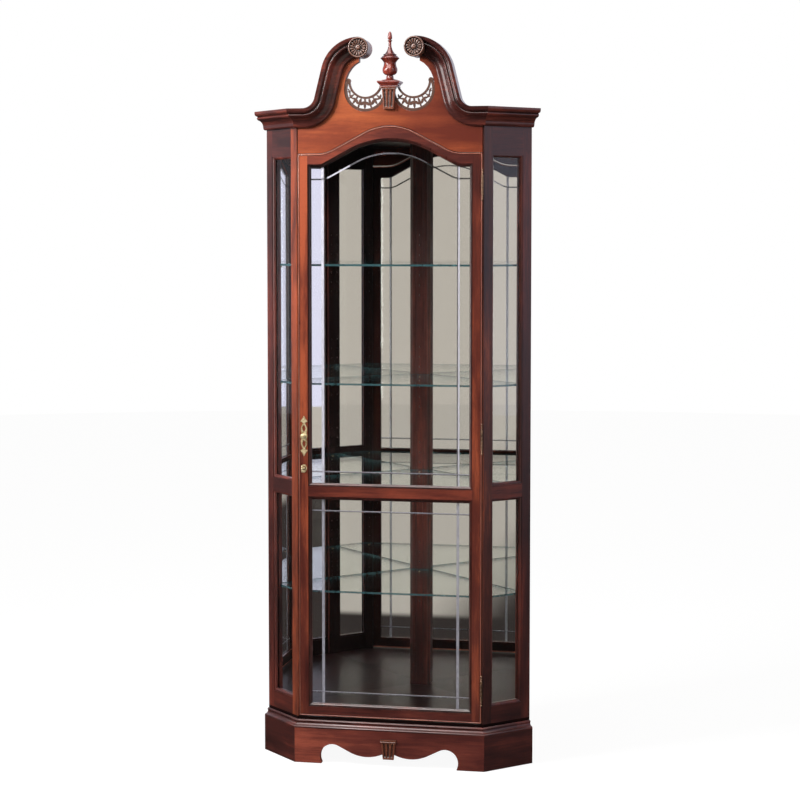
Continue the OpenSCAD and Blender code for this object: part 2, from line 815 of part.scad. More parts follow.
// Turned boss with a rim, a ring of petals and a button
module rosettes() {
    back = crown_out - 2;
    petals = 16;
    color(carved) cabinet() for (s = [-1, 1]) facade(0) translate([s * rosette_x, rosette_z, 0]) {
        rotate_extrude($fn = 72) polygon(concat(
            [[0, 0], [rosette_r - 2, 0], [rosette_r - 2, back], [rosette_r, back + 1.5]],
            arc(rosette_r - 3, front_reach - 5, 3, 10, 150, 5),
            [[rosette_r - 8, front_reach - 8], [12, front_reach - 8], [9, front_reach - 6]],
            curve([8, front_reach - 4], [6, front_reach], [0, front_reach], 5)
        ));
        for (i = [0:petals - 1]) rotate(i * 360 / petals) {
            translate([9, 0, front_reach - 7]) rotate([0, 90, 0])
                cylinder(r1 = 1.2, r2 = 2.7, h = 10, $fn = 24);
            translate([19, 0, front_reach - 7]) sphere(2.7, $fn = 24);
        }
    }
}

key_bottom_z = scoop_z - scoop_r + 6;
key_top_z = scoop_z + 7;

module keystone() {
    color(carved) cabinet() translate([0, 0, key_bottom_z]) rotate([90, 0, 0])
        fluted_block(key_w, key_foot_w, key_top_z - key_bottom_z, key_out, 6);
}

cap_y = lip_front / 2;                                 // the finial stands over the board's middle

module finial_cap() {
    color(wood_dark) cabinet() translate([0, cap_y, key_top_z]) {
        translate([-cap_w / 2 + 6, -cap_d / 2 + 6, 0]) cube([cap_w - 12, cap_d - 12, cap_h * 0.4]);
        translate([-cap_w / 2 + 3, -cap_d / 2 + 3, cap_h * 0.4]) cube([cap_w - 6, cap_d - 6, cap_h * 0.2]);
        translate([-cap_w / 2, -cap_d / 2, cap_h * 0.6]) cube([cap_w, cap_d, cap_h * 0.4]);
    }
}

// Turned urn with a tall spire and an acorn tip
module finial() {
    s = finial_h / 145;
    urn = concat(
        [[0, 0], [24.8, 0], [24.8, 2.5], [13, 6], [10.9, 8], [10.9, 12.5], [9, 15], [9, 16.5]],
        curve([12, 18], [22.5, 22], [22.3, 33], 6),
        curve([22, 37], [18, 46], [17.9, 51], 4),
        curve([18.2, 55], [22, 61], [27.3, 65], 4),
        [[27.6, 66.5]],
        curve([27, 68], [23, 73], [18, 74], 4),
        [[19.6, 75.5], [19.6, 77.8], [16, 78.5]]
    );
    spire = concat(
        curve([15.6, 79.5], [5, 90], [4.3, 106], 7),
        [[4.2, 115], [6.6, 117], [6.6, 118.5], [3.6, 120], [3.6, 121.4], [6.2, 122.7]],
        curve([7.2, 127], [7.2, 138], [0, 145], 6)
    );
    color(wood_dark) cabinet() translate([0, cap_y, key_top_z + cap_h])
        rotate_extrude($fn = 72) polygon([for (p = concat(urn, spire)) p * s]);
}

// ---------------------------------------------------------------- pierced scrollwork

// A pointed leaf from the origin along +x
module leaf(length, width) {
    polygon(concat(
        curve([0, -0.4], [length * 0.4, -width], [length, 0], 5),
        curve([length, 0], [length * 0.4, width], [0, 0.4], 5)
    ));
}

// Leaves spreading from a stem
module leaf_spray(length) {
    for (turn = [-62, 0, 62])
        rotate(turn) leaf(length * (turn == 0 ? 1 : 0.75), length * 0.32);
}

fret_rim = 8;                                          // width of the outer hoop
hoop_r = 52;                                           // outer radius of the inner hoop
hoop_z = scoop_z + 25.4;                               // centre of the inner hoop
hoop_w = 6;
curl_r = 7.5;                                          // the scrolled tip of the inner hoop
vine_low = 212;                                        // where the vine starts, in degrees
vine_high = 350;
vine_steps = 48;
vine_w = 2.8;
crests = 8;
vine_wave = 0.4;                                       // wave of the vine as a share of the space

// Ring sector between two radii
module hoop(cx, cz, r, w, a0, a1) {
    polygon(concat(arc(cx, cz, r, a0, a1, 22), arc(cx, cz, r - w, a1, a0, 22)));
}

// Half of the clear width between the hoops at an angle, and a point across that width
function crescent_half(a) = (scoop_r - ease - fret_rim - hoop_r) / 2 - (hoop_z - scoop_z) / 2 * sin(a);

function crescent_point(a, share, out = 0) =
    let (r = (scoop_r - ease - fret_rim + hoop_r) / 2 - 0.5 + share * crescent_half(a) + out)
    [scoop_x + r * cos(a), (scoop_z + hoop_z) / 2 + r * sin(a)];

function vine_edge(i, out) =
    let (a = vine_low + (vine_high - vine_low) * i / vine_steps)
    crescent_point(a, vine_wave * sin((a - vine_low) * 180 * crests / (vine_high - vine_low)), out);

// Crescent of the right scoop: two hoops, a scrolled tip, a waving vine and its leaves
module fret_outline() {
    half_wave = (vine_high - vine_low) / crests;
    hoop(scoop_x, scoop_z, scoop_r - ease, fret_rim, 192, 386);
    hoop(scoop_x, hoop_z, hoop_r, hoop_w, 203, 360);
    translate([scoop_x + hoop_r, hoop_z + 1]) circle(curl_r, $fn = 30);
    polygon(concat(
        [for (i = [0:vine_steps]) vine_edge(i, vine_w / 2)],
        [for (i = [vine_steps:-1:0]) vine_edge(i, -vine_w / 2)]
    ));
    for (i = [0:crests - 1]) {
        a = vine_low + (i + 0.5) * half_wave;
        side = i % 2 == 0 ? 1 : -1;
        room = crescent_half(a);
        translate(crescent_point(a, side * vine_wave)) {
            rotate(side > 0 ? a + 180 : a) leaf_spray(room * 1.5);
            rotate(side > 0 ? a : a + 180) leaf(room * (1 - vine_wave) + 2, room * 0.34);
        }
    }
}

module fretwork(side) {
    color(carved) cabinet() hand(side) facade(fret_t + 2) linear_extrude(fret_t) intersection() {
        fret_outline();
        translate([scoop_x, scoop_z]) union() {
            circle(scoop_r - ease, $fn = 96);
            translate([ease - scoop_r, 0]) square([2 * (scoop_r - ease), scoop_rise]);
        }
    }
}

module fretwork_left() { fretwork("left"); }
module fretwork_right() { fretwork("right"); }

// ---------------------------------------------------------------- door

sticking_back = 11;                                    // depth at which the panes sit

module stile(side) {
    x = door_half - bead_w - stile_w;
    color(wood_red) cabinet() difference() {
        hand(side) translate([x, 0, door_z + bead_w])
            cube([stile_w, frame_t, shoulder_z - bead_w - door_z - bead_w]);
        if (side == "right") {
            hinge_mortises(door_half, -1);
            hinge_pilots(door_half - leaf_t, -1);
        }
        if (side == "left") {
            lock_mortise();
            knob_hole();
        }
    }
}

module door_stile_left() { stile("left"); }
module door_stile_right() { stile("right"); }

module door_top_rail() {
    inner = [for (p = upper_loop(0)) if (p[1] > mid_rail_top + 1) p];
    outer = concat(
        [[-stile_edge, shoulder_z - bead_w]],
        whole_arch(arch_half, arch_rise, arch_crown_r, arch_slope, shoulder_z, -bead_w),
        [[stile_edge, shoulder_z - bead_w]]
    );
    color(wood_red) cabinet() facade(frame_t) linear_extrude(frame_t)
        polygon(concat(outer, backwards(inner)));
}

module door_mid_rail() {
    color(wood_red) cabinet() translate([-stile_edge, 0, mid_rail_z])
        cube([2 * stile_edge, frame_t, mid_rail_w]);
}

module door_bottom_rail() {
    low = door_z + bead_w;
    color(wood_red) cabinet() translate([-stile_edge, 0, low])
        cube([2 * stile_edge, frame_t, bottom_rail_top - low]);
}

// Rounded strip around the whole door, with a quirk where it meets the frame
module door_edge_bead() {
    nose = arc(bead_w / 2 - 0.3, bead_w / 2 - 0.3 - bead_out, bead_w / 2 - 0.3, 180, 360, 6);
    outline = concat([for (p = nose) p], [[bead_w - 0.6, 1.4], [bead_w, 1.4], [bead_w, frame_t], [0, frame_t]]);
    color(wood_red) cabinet() difference() {
        swept_frame([for (p = outline) door_loop(p[0])], [for (p = outline) p[1]]);
        hinge_mortises(door_half, -1);
        hinge_pilots(door_half - leaf_t, -1);
        lock_mortise();
    }
}

// Ovolo mouldings that frame both panes
module door_mouldings() {
    depths = [for (p = sticking_outline) p[1]];
    color(wood_red) cabinet() {
        swept_frame([for (p = sticking_outline) upper_loop(p[0])], depths);
        swept_frame([for (p = sticking_outline) lower_loop(p[0])], depths);
    }
}

// Cut lines that run from edge to edge of a pane
module straight_cuts(lo, hi, rows) {
    x = stile_edge - sticking_w - cut_inset;
    for (s = [-1, 1]) translate([s * x - cut_w / 2, lo - 50]) square([cut_w, hi - lo + 100]);
    for (z = rows) translate([-stile_edge - 5, z - cut_w / 2]) square([2 * stile_edge + 10, cut_w]);
}

module door_glass_upper() {
    inset = sticking_w + cut_inset;
    color(glass_tint) cabinet() difference() {
        facade(sticking_back + pane_t) linear_extrude(pane_t) polygon(upper_loop(ease));
        facade(sticking_back + cut_d) linear_extrude(cut_d + 1) {
            straight_cuts(mid_rail_top, open_shoulder_z + open_rise, [mid_rail_top + inset]);
            polygon(concat(
                [[-stile_edge - 5, open_shoulder_z - inset + cut_w / 2]],
                whole_arch(open_half, open_rise, open_crown_r, open_slope,
                    open_shoulder_z, cut_w / 2 - inset),
                [[stile_edge + 5, open_shoulder_z - inset + cut_w / 2]],
                [[stile_edge + 5, open_shoulder_z - inset - cut_w / 2]],
                backwards(whole_arch(open_half, open_rise, open_crown_r, open_slope,
                    open_shoulder_z, -cut_w / 2 - inset)),
                [[-stile_edge - 5, open_shoulder_z - inset - cut_w / 2]]
            ));
        }
    }
}

module door_glass_lower() {
    inset = sticking_w + cut_inset;
    color(glass_tint) cabinet() difference() {
        facade(sticking_back + pane_t) linear_extrude(pane_t) polygon(lower_loop(ease));
        facade(sticking_back + cut_d) linear_extrude(cut_d + 1)
            straight_cuts(bottom_rail_top, mid_rail_z, [bottom_rail_top + inset, mid_rail_z - inset]);
    }
}

// Square strips that hold both panes from behind
module glass_stops() {
    front = sticking_back + pane_t;
    outline = [[0, front], [8, front], [8, frame_t], [0, frame_t]];
    color(wood_red) cabinet() {
        swept_frame([for (p = outline) upper_loop(p[0])], [for (p = outline) p[1]]);
        swept_frame([for (p = outline) lower_loop(p[0])], [for (p = outline) p[1]]);
    }
}

// ---------------------------------------------------------------- hinges

hinge_x = door_half + door_gap / 2;
knuckle = barrel_len / 5;
screw_r = 1.5;
screw_len = 9;
screw_rows = [-20, 0, 20];

module at_hinges() {
    for (z = hinge_heights) translate([hinge_x, -hinge_out, z]) children();
}

// Recess for a leaf in the edge at x; way is 1 into the post, -1 into the door
module hinge_mortises(x, way) {
    for (z = hinge_heights)
        translate([way > 0 ? x - 1 : x - leaf_t, -20, z - barrel_len / 2 - ease])
            cube([leaf_t + 1, 20 + leaf_d + ease, barrel_len + 2 * ease]);
}

module hinge_pilots(x, way) {
    for (z = hinge_heights) for (dz = screw_rows)
        translate([x, leaf_d / 2 + 1, z + dz]) rotate([0, way * 90, 0])
            translate([0, 0, -0.5]) cylinder(r = screw_r + run_fit, h = screw_len + 0.5 + ease, $fn = 20);
}

// Leaf with its knuckles; way is 1 for the post, -1 for the door
module hinge_leaf(way) {
    own = way > 0 ? [0, 2, 4] : [1, 3];
    other = way > 0 ? [1, 3] : [0, 2, 4];
    x = way > 0 ? door_gap / 2 : -door_gap / 2 - leaf_t;
    difference() {
        union() {
            translate([x, 0, -barrel_len / 2]) cube([leaf_t, hinge_out + leaf_d, barrel_len]);
            for (k = own) translate([0, 0, -barrel_len / 2 + k * knuckle])
                cylinder(r = barrel_r, h = knuckle, $fn = 40);
        }
        for (k = other) translate([0, 0, -barrel_len / 2 + k * knuckle - ease])
            cylinder(r = barrel_r + 2 * ease, h = knuckle + 2 * ease, $fn = 40);
        translate([0, 0, -barrel_len / 2 - 1])
            cylinder(r = hinge_pin_r + run_fit, h = barrel_len + 2, $fn = 32);
        for (dz = screw_rows) translate([x, hinge_out + leaf_d / 2 + 1, dz]) rotate([0, 90, 0])
            if (way > 0) {
                translate([0, 0, -0.01]) cylinder(r1 = 3.1, r2 = screw_r + run_fit, h = leaf_t + 0.02, $fn = 24);
            } else {
                translate([0, 0, -0.01]) cylinder(r1 = screw_r + run_fit, r2 = 3.1, h = leaf_t + 0.02, $fn = 24);
            }
    }
}

module hinge_leaves_post() {
    color(brass) cabinet() at_hinges() hinge_leaf(1);
}

module hinge_leaves_door() {
    color(brass) cabinet() at_hinges() hinge_leaf(-1);
}

// Pins with a bead and a ball at each end
module hinge_pins() {
    color(brass) cabinet() at_hinges() for (s = [0, 1]) mirror([0, 0, s]) {
        cylinder(r = hinge_pin_r, h = barrel_len / 2 + 1, $fn = 32);
        translate([0, 0, barrel_len / 2 + ease]) rotate_extrude($fn = 40) polygon(concat(
            [[0, 0], [barrel_r - 0.4, 0], [barrel_r - 0.4, 1.2], [hinge_pin_r, 2.8]],
            arc(0, 4 + hinge_ball_r, hinge_ball_r, -50, 50, 6),
            arc(0, 7 + 3 * hinge_ball_r, hinge_ball_r, -50, 88, 8), [[0, 7 + 4 * hinge_ball_r]]
        ));
    }
}

module screws_for(way) {
    x = way > 0 ? opening_half : door_half;
    color(brass) cabinet() for (z = hinge_heights) for (dz = screw_rows)
        translate([x, leaf_d / 2 + 1, z + dz]) rotate([0, way * 90, 0]) {
            difference() {
                cylinder(r1 = 3, r2 = screw_r, h = leaf_t, $fn = 24);
                translate([-3.5, -0.35, -1]) cube([7, 0.7, 1.6]);
            }
            translate([0, 0, leaf_t]) cylinder(r = screw_r, h = screw_len, $fn = 20);
        }
}

module hinge_screws_post() { screws_for(1); }
module hinge_screws_door() { screws_for(-1); }

// ---------------------------------------------------------------- pull and lock

pull_x = -(door_half - bead_w - stile_w / 2);
pull_z = lock_z + pull_rise;

// Upper half of the plate: a loop, a neck and a spade-shaped head
plate_t = 2;

module plate_half() {
    tip = pull_h / 2;
    right = concat(
        [[7, 8]], curve([7, 8], [13.5, 22], [4.5, 34], 6), [[3.6, 37]],
        curve([4, 40], [7, 42.5], [11.4, 42.5], 4), curve([9, 46.5], [4.5, 51], [0, tip], 4)
    );
    difference() {
        polygon(concat(right, backwards(flip_x(right))));
        polygon(concat(
            curve([0, 12], [-10.4, 22], [0, 34], 6), curve([0, 34], [10.4, 22], [0, 12], 6)
        ));
    }
}

module plate_outline() {
    circle(10.4, $fn = 48);
    plate_half();
    mirror([0, 1]) plate_half();
}

module pull_plate() {
    color(brass) cabinet() difference() {
        translate([pull_x, 0, pull_z]) rotate([90, 0, 0]) linear_extrude(plate_t) plate_outline();
        knob_hole();
    }
}

// Hole through the plate and the stile for the knob's spigot
spigot_r = 2.5;
spigot_len = 12;

module knob_hole() {
    translate([pull_x, -plate_t - 1, pull_z]) rotate([-90, 0, 0])
        cylinder(r = spigot_r + run_fit, h = spigot_len + 1 + ease, $fn = 24);
}

module pull_knob() {
    color(brass) cabinet() translate([pull_x, -plate_t, pull_z]) rotate([90, 0, 0])
        rotate_extrude($fn = 48) polygon(concat(
            [[0, -spigot_len], [spigot_r, -spigot_len], [spigot_r, 0], [7, 0], [6.4, 1.6], [3.2, 3.4],
             [2.8, 7], [3.4, knob_out - 12]],
            curve([knob_r, knob_out - 9.5], [knob_r + 1, knob_out - 3], [0, knob_out - plate_t], 7)
        ));
}

case_x = -door_half;                                   // the lock's face is flush with the door's edge
case_w = 26;
case_front = 5;
case_back = 16;
case_low = 14;
case_high = 24;
case_wall = 1.5;
bolt_h = 10;
bolt_t = 6;
bolt_z = lock_z + core_r + run_fit + 1.2;

module lock_mortise() {
    translate([case_x - 1, case_front - ease, lock_z - case_low - ease])
        cube([case_w + 1 + ease, case_back - case_front + 2 * ease, case_low + case_high + 2 * ease]);
    translate([pull_x, -1, lock_z]) rotate([-90, 0, 0])
        cylinder(r = core_r + ease, h = case_front + 2, $fn = 40);
}

// Pocket in the left post that takes the bolt
module bolt_mortise() {
    translate([-opening_half - bolt_throw - 1, (case_front + case_back - bolt_t) / 2 - ease, bolt_z - ease])
        cube([bolt_throw + 2, bolt_t + 2 * ease, bolt_h + 2 * ease]);
}

module lock_case() {
    depth = case_back - case_front;
    color(brass) cabinet() difference() {
        translate([case_x, case_front, lock_z - case_low]) cube([case_w, depth, case_low + case_high]);
        translate([case_x + case_wall, case_front + case_wall, lock_z - case_low + case_wall])
            cube([case_w - 2 * case_wall, depth - 2 * case_wall, case_low + case_high - 2 * case_wall]);
        translate([pull_x, case_front - 1, lock_z]) rotate([-90, 0, 0])
            cylinder(r = core_r + run_fit, h = case_wall + 2, $fn = 40);
        translate([case_x - 1, (case_front + case_back - bolt_t) / 2 - ease, bolt_z - ease])
            cube([case_wall + 2, bolt_t + 2 * ease, bolt_h + 2 * ease]);
    }
}

escutcheon_t = 1.8;
escutcheon_h = 25;
escutcheon_w = 17;

// Shield-shaped plate around the lock's core
module escutcheon() {
    half = escutcheon_w / 2;
    top = escutcheon_h * 0.42;
    tip = top - escutcheon_h;
    right = concat(curve([0, tip], [half, tip * 0.6], [half, 0], 6), curve([half, 0], [half, top], [0, top], 6));
    color(brass) cabinet() translate([pull_x, 0, lock_z]) rotate([90, 0, 0])
        linear_extrude(escutcheon_t) difference() {
            polygon(concat(right, backwards(flip_x(right))));
            circle(core_r + ease, $fn = 40);
        }
}

core_front = -escutcheon_t - 0.4;
bit_len = 3.4;
bit_t = 1.4;

// Core that the key turns
module lock_core() {
    back = case_back - case_wall - ease;
    color(brass) cabinet() translate([pull_x, 0, lock_z]) difference() {
        translate([0, core_front, 0]) rotate([-90, 0, 0])
            cylinder(r = core_r, h = back - core_front, $fn = 48);
        translate([0, core_front - 1, 0]) rotate([-90, 0, 0])
            cylinder(r = shank_r + run_fit, h = back - core_front - 0.5, $fn = 24);
        translate([-bit_t / 2 - 0.15, core_front - 1, -shank_r - bit_len - 0.2])
            cube([bit_t + 0.3, back - core_front - 0.5, shank_r + bit_len + 0.2]);
    }
}

module lock_bolt() {
    head_x = case_x + 0.2;
    color(brass) cabinet() translate([head_x, (case_front + case_back - bolt_t) / 2, bolt_z])
        cube([case_w - case_wall - 1.5, bolt_t, bolt_h]);
}

// Key with a collar, a flat bit and a heart-shaped bow
module key() {
    tip = case_back - case_wall - 2.2;
    bow_y = -26;
    color(brass) cabinet() translate([pull_x, 0, lock_z]) {
        translate([0, bow_y + 6, 0]) rotate([-90, 0, 0]) cylinder(r = shank_r, h = tip - bow_y - 6, $fn = 24);
        translate([0, core_front - 2.5, 0]) rotate([-90, 0, 0]) cylinder(r = shank_r + 1, h = 2, $fn = 24);
        translate([-bit_t / 2, tip - 5, -shank_r - bit_len]) cube([bit_t, 4, shank_r + bit_len]);
        translate([-1, bow_y, 0]) rotate([0, 90, 0]) linear_extrude(2) difference() {
            union() {
                for (s = [-1, 1]) translate([s * 4.5, 0]) circle(6, $fn = 36);
                translate([0, -3.5]) circle(5, $fn = 36);
                translate([-2.5, 0]) square([5, 8]);
            }
            for (s = [-1, 1]) translate([s * 4.5, 0]) circle(3, $fn = 30);
        }
    }
}

// ---------------------------------------------------------------- shelves

// Pentagon of plate glass, notched around the posts, resting on five pins
module glass_shelves() {
    side = frame_t + shelf_gap;
    wall = panel_t + mirror_t + shelf_gap;
    color(glass_tint) cabinet() for (z = shelf_heights) translate([0, 0, z]) linear_extrude(shelf_t)
        difference() {
            polygon(plan(shelf_front, side, wall, post_face_y - notch_gap));
            for (s = ["left", "right"]) hand(s) on_side()
                translate([side_len - rear_post_w - notch_gap, 0])
                    square([rear_post_w + 5, rear_post_d + notch_gap]);
        }
}

module shelf_pins() {
    color(brass) cabinet() at_pins() pins();
}

plinth_front();
plinth_left();
plinth_right();
plinth_backs();
apron_keystone();
base_mouldings();
base_ledgers();
base_deck();
front_post_left();
front_post_right();
rear_post_left();
rear_post_right();
back_corner_post();
side_rails_left();
side_rails_right();
side_glass_left();
side_glass_right();
side_beads_left();
side_beads_right();
back_panel_left();
back_panel_right();
mirror_left();
mirror_right();
ceiling_board();
crown_left();
crown_right();
pediment_board();
swan_neck_left();
swan_neck_right();
rosettes();
keystone();
finial_cap();
finial();
fretwork_left();
fretwork_right();
door_stile_left();
door_stile_right();
door_top_rail();
door_mid_rail();
door_bottom_rail();
door_edge_bead();
door_mouldings();
door_glass_upper();
door_glass_lower();
glass_stops();
hinge_leaves_post();
hinge_leaves_door();
hinge_pins();
hinge_screws_post();
hinge_screws_door();
pull_plate();
pull_knob();
escutcheon();
lock_case();
lock_core();
lock_bolt();
key();
glass_shelves();
shelf_pins();
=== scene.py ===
from math import cos, degrees, dist, exp, hypot, pi, radians, sin, sqrt, tan

import bmesh
import bpy
from bpy.props import FloatProperty, FloatVectorProperty, IntProperty, PointerProperty
from bpy.types import Operator, Panel, PropertyGroup
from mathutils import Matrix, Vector


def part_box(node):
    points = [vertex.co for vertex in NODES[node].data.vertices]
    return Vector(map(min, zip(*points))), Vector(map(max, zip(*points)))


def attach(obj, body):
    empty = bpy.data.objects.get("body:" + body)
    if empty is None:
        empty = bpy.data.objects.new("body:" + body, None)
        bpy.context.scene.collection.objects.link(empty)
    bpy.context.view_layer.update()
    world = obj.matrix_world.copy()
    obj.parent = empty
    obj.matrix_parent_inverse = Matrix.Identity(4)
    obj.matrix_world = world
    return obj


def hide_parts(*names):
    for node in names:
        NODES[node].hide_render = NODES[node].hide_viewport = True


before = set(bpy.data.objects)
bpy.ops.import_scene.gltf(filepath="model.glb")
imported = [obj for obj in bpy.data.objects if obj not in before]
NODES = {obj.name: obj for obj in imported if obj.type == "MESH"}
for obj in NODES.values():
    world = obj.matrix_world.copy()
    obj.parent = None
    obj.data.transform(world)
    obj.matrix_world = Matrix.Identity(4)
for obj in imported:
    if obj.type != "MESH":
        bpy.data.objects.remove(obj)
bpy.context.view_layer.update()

bl_info = {
    "name": "Corner China Cabinet",
    "version": (1, 0, 0),
    "blender": (4, 5, 0),
    "location": "3D View > Sidebar > Cabinet",
    "description": "Dresses a corner china cabinet with mouldings, carving, finishes and a studio",
    "category": "Object",
}

MM = 0.001
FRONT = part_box("door_mid_rail")[0].y  # plane of the cabinet's front face
ROOT2 = sqrt(2)
MITRE = tan(radians(22.5))  # of the corners between the front and the angled sides

# Places on the door in millimetres, as the CAD has them
HINGE_HEIGHTS = (239, 989, 1735)
HINGE_HALF = 28.3
LOCK_HEIGHT = 892
ARCH_SLOPE = 28
CUT_FRONT, CUT_BACK = 11.05, 11.65  # front and back of the ground facets on the panes

ROUND = 96  # sides of turned and round shapes
FINIAL_HEIGHT = 145  # that the finial's profile is drawn to

# The camera's place in millimetres from the front face; the lamps' size, place and target
CAMERA_PLACE = (1171.1, -5680.4, 1581)
CAMERA_TURN, CAMERA_TIP = radians(11.337), radians(3.567)
CAMERA_LENS, CAMERA_SENSOR, CAMERA_SHIFT = 88.27, 36, -0.05
KEY_LAMP = (0.6, (-1.35, -1.3, 2.6), (-0.15, -0.2, 1.7))
FILL_LAMP = (0.7, (2.2, -1.6, 3.0), (0.2, 0, 1.7))
FLOOR_RADIUS, FLOOR_SIDES, FLOOR_DROP = 12, 64, 0.0004


def srgb(red, green, blue):
    """Linear colour of a paint named by its 0-255 values."""
    return tuple((v / 255 / 12.92) if v <= 10.3 else ((v / 255 + 0.055) / 1.055) ** 2.4
                 for v in (red, green, blue))


def colour(name, about, *paint):
    return FloatVectorProperty(name=name, description=about, default=srgb(*paint),
                               subtype="COLOR", min=0, max=1)


def length(name, about, millimetres):
    return FloatProperty(name=name, description=about, default=millimetres * MM,
                         unit="LENGTH", min=0)


# ---- what a user may change

def light(part, *paint):
    return colour(f"{part}, light", f"Light figure of the {part.lower()}", *paint)


def dark(part, *paint):
    return colour(f"{part}, dark", f"Dark grain of the {part.lower()}", *paint)


class CabinetColours(PropertyGroup):
    """Colours of the woods, the metal and the glass."""
    # The glass mouldings' dark colours are partly painted shade on the sticking.
    stick_light: light("Glass mouldings", 92, 42, 34)
    stick_dark: dark("Glass mouldings", 24, 10, 9)
    board_light: light("Pediment board", 166, 83, 45)
    board_dark: dark("Pediment board", 96, 36, 22)
    door_light: light("Door frame", 164, 78, 48)
    door_dark: dark("Door frame", 58, 20, 17)
    # The door bead's pale colours are partly a painted highlight along its rounded nose.
    bead_light: light("Door bead", 206, 134, 108)
    bead_dark: dark("Door bead", 110, 54, 44)
    rail_light: light("Door rails", 136, 62, 44)
    rail_dark: dark("Door rails", 52, 18, 16)
    plinth_light: light("Plinth front", 162, 78, 57)
    plinth_dark: dark("Plinth front", 78, 30, 25)
    case_light: light("Posts and sides", 118, 52, 41)
    case_dark: dark("Posts and sides", 38, 15, 14)
    crown_light: light("Crown mouldings", 134, 62, 48)
    crown_dark: dark("Crown mouldings", 32, 12, 12)
    turned_light: light("Finial and cap", 158, 66, 50)
    turned_dark: dark("Finial and cap", 62, 20, 18)
    # The floor and ceiling colours are very dark: on the ceiling's unlit underside this is painted
    # shade.
    deck_light: light("Floor and ceiling", 40, 18, 16)
    deck_dark: dark("Floor and ceiling", 14, 6, 6)
    inner_light: light("Corner post", 120, 58, 46)
    inner_dark: dark("Corner post", 46, 20, 18)
    # The low colours below fill the hollows of the keystones and carving: painted shade there, with
    # a dark glazing.
    key_high: colour("Keystones, high", "Rubbed high parts of the keystones", 150, 78, 48)
    key_low: colour("Keystones, low", "Glaze in the keystones' flutes", 18, 9, 8)
    carving_high: colour("Carving, high", "Rubbed high parts of the carving", 124, 80, 60)
    carving_low: colour("Carving, low", "Glaze in the carving's hollows", 22, 12, 10)
    brass_bright: colour("Brass, bright", "Rubbed parts of the pull and lock plate", 236, 222, 180)
    brass_dull: colour("Brass, dull", "Tarnish on the pull and lock plate", 150, 124, 76)
    hinge_bright: colour("Hinges, bright", "Rubbed parts of the hinges", 150, 118, 92)
    hinge_dull: colour("Hinges, dull", "Tarnish on the hinges", 62, 42, 32)
    shelf_edge: colour("Shelf edge", "Ground edges of the glass shelves", 74, 116, 122)


class CrownSizes(PropertyGroup):
    """Sizes of the crown, the swan necks and the carving on them."""
    low: length("Crown lower edge", "Height of the crown's lower edge", 1906.5)
    height: length("Crown height", "Height of the crown", 55)
    out: length("Crown projection", "How far the crown stands out", 42.6)
    half_front: length("Half front", "Half of the front's width at its mitres", 283)
    side: length("Side length", "Length of each angled side", 174)
    eye_x: length("Rosette from middle", "Distance of a rosette from the middle", 83)
    eye_z: length("Upper bend height", "Height of the upper bend's centre", 2052)
    top_r: length("Upper bend radius", "Inner radius of the upper bend", 60)
    low_r: length("Lower bend radius", "Inner radius of the lower bend", 93)
    slope: FloatProperty(name="Neck slope", description="Slope of the neck between its bends",
                         default=radians(76), subtype="ANGLE")
    rosette_r: length("Rosette radius", "Radius of the rosettes", 30)
    rosette_out: length("Rosette projection", "How far a rosette stands proud of the neck", 12)
    petals: IntProperty(name="Petals", description="Petals of each rosette", default=16, min=8)


class DoorSizes(PropertyGroup):
    """Sizes of the door's outline, its openings and its mouldings."""
    half: length("Half width", "Half of the door's width", 277.5)
    low: length("Lower edge", "Height of the door's lower edge", 141)
    shoulder: length("Shoulder", "Height of the door's shoulders", 1828)
    rise: length("Arch rise", "Rise of the door's arch", 81)
    arch_half: length("Arch half span", "Half of the arch's span", 222)
    crown_r: length("Arch crown radius", "Radius of the arch's crown", 160)
    bead: length("Edge bead", "Width of the bead around the door", 4.5)
    stile: length("Stile", "Width of the flat of the stiles", 24)
    bottom_top: length("Bottom rail top", "Height of the bottom rail's upper edge", 169)
    mid_low: length("Middle rail low", "Height of the middle rail's lower edge", 807)
    mid_top: length("Middle rail top", "Height of the middle rail's upper edge", 837)
    open_shoulder: length("Opening shoulder", "Height of its shoulders", 1798)
    open_rise: length("Opening rise", "Rise of its arch", 75.5)
    open_half: length("Opening half span", "Half of its arch's span", 215)
    open_crown_r: length("Opening crown radius", "Radius of its crown", 265)
    cut_inset: length("Cut line inset", "How far in the cut lines run", 34)


class StudioLight(PropertyGroup):
    """Strengths of the studio's lamps."""
    key: FloatProperty(name="Key", description="Power of the lamp at the upper left",
                       default=62, unit="POWER", min=0)
    fill: FloatProperty(name="Fill", description="Power of the lamp at the right",
                        default=12, unit="POWER", min=0)
    room: FloatProperty(name="Room", description="Strength of the room's even light",
                        default=0.34, min=0)


# ---- shapes in millimetres

def mm(value):
    return value / MM


def place(x, y, z):
    """Point in metres from millimetres; y runs back from the front face."""
    return (x * MM, FRONT + y * MM, z * MM)


def box_mm(node):
    """Low and high corners of a piece in millimetres, y from the front face."""
    return [(mm(corner.x), mm(corner.y - FRONT), mm(corner.z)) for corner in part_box(node)]


def arc(cx, cy, r, start, end, steps):
    angles = [radians(start + (end - start) * i / steps) for i in range(steps + 1)]
    return [(cx + r * cos(a), cy + r * sin(a)) for a in angles]


def curve(start, handle, end, steps):
    """Quadratic curve from start to end."""
    line = []
    for i in range(steps + 1):
        t = i / steps
        line.append(tuple(a * (1 - t) ** 2 + 2 * h * t * (1 - t) + b * t * t
                          for a, h, b in zip(start, handle, end)))
    return line


def swapped(points):
    return [(b, a) for a, b in points]


def tidy_line(points):
    """Drops points that repeat the one before."""
    kept = [points[0]]
    for p in points[1:]:
        if dist(p, kept[-1]) > 1e-4:
            kept.append(p)
    return kept


def flipped(points, faces):
    """Mirror image across the cabinet's middle."""
    return [(-x, y, z) for x, y, z in points], [tuple(reversed(f)) for f in faces]


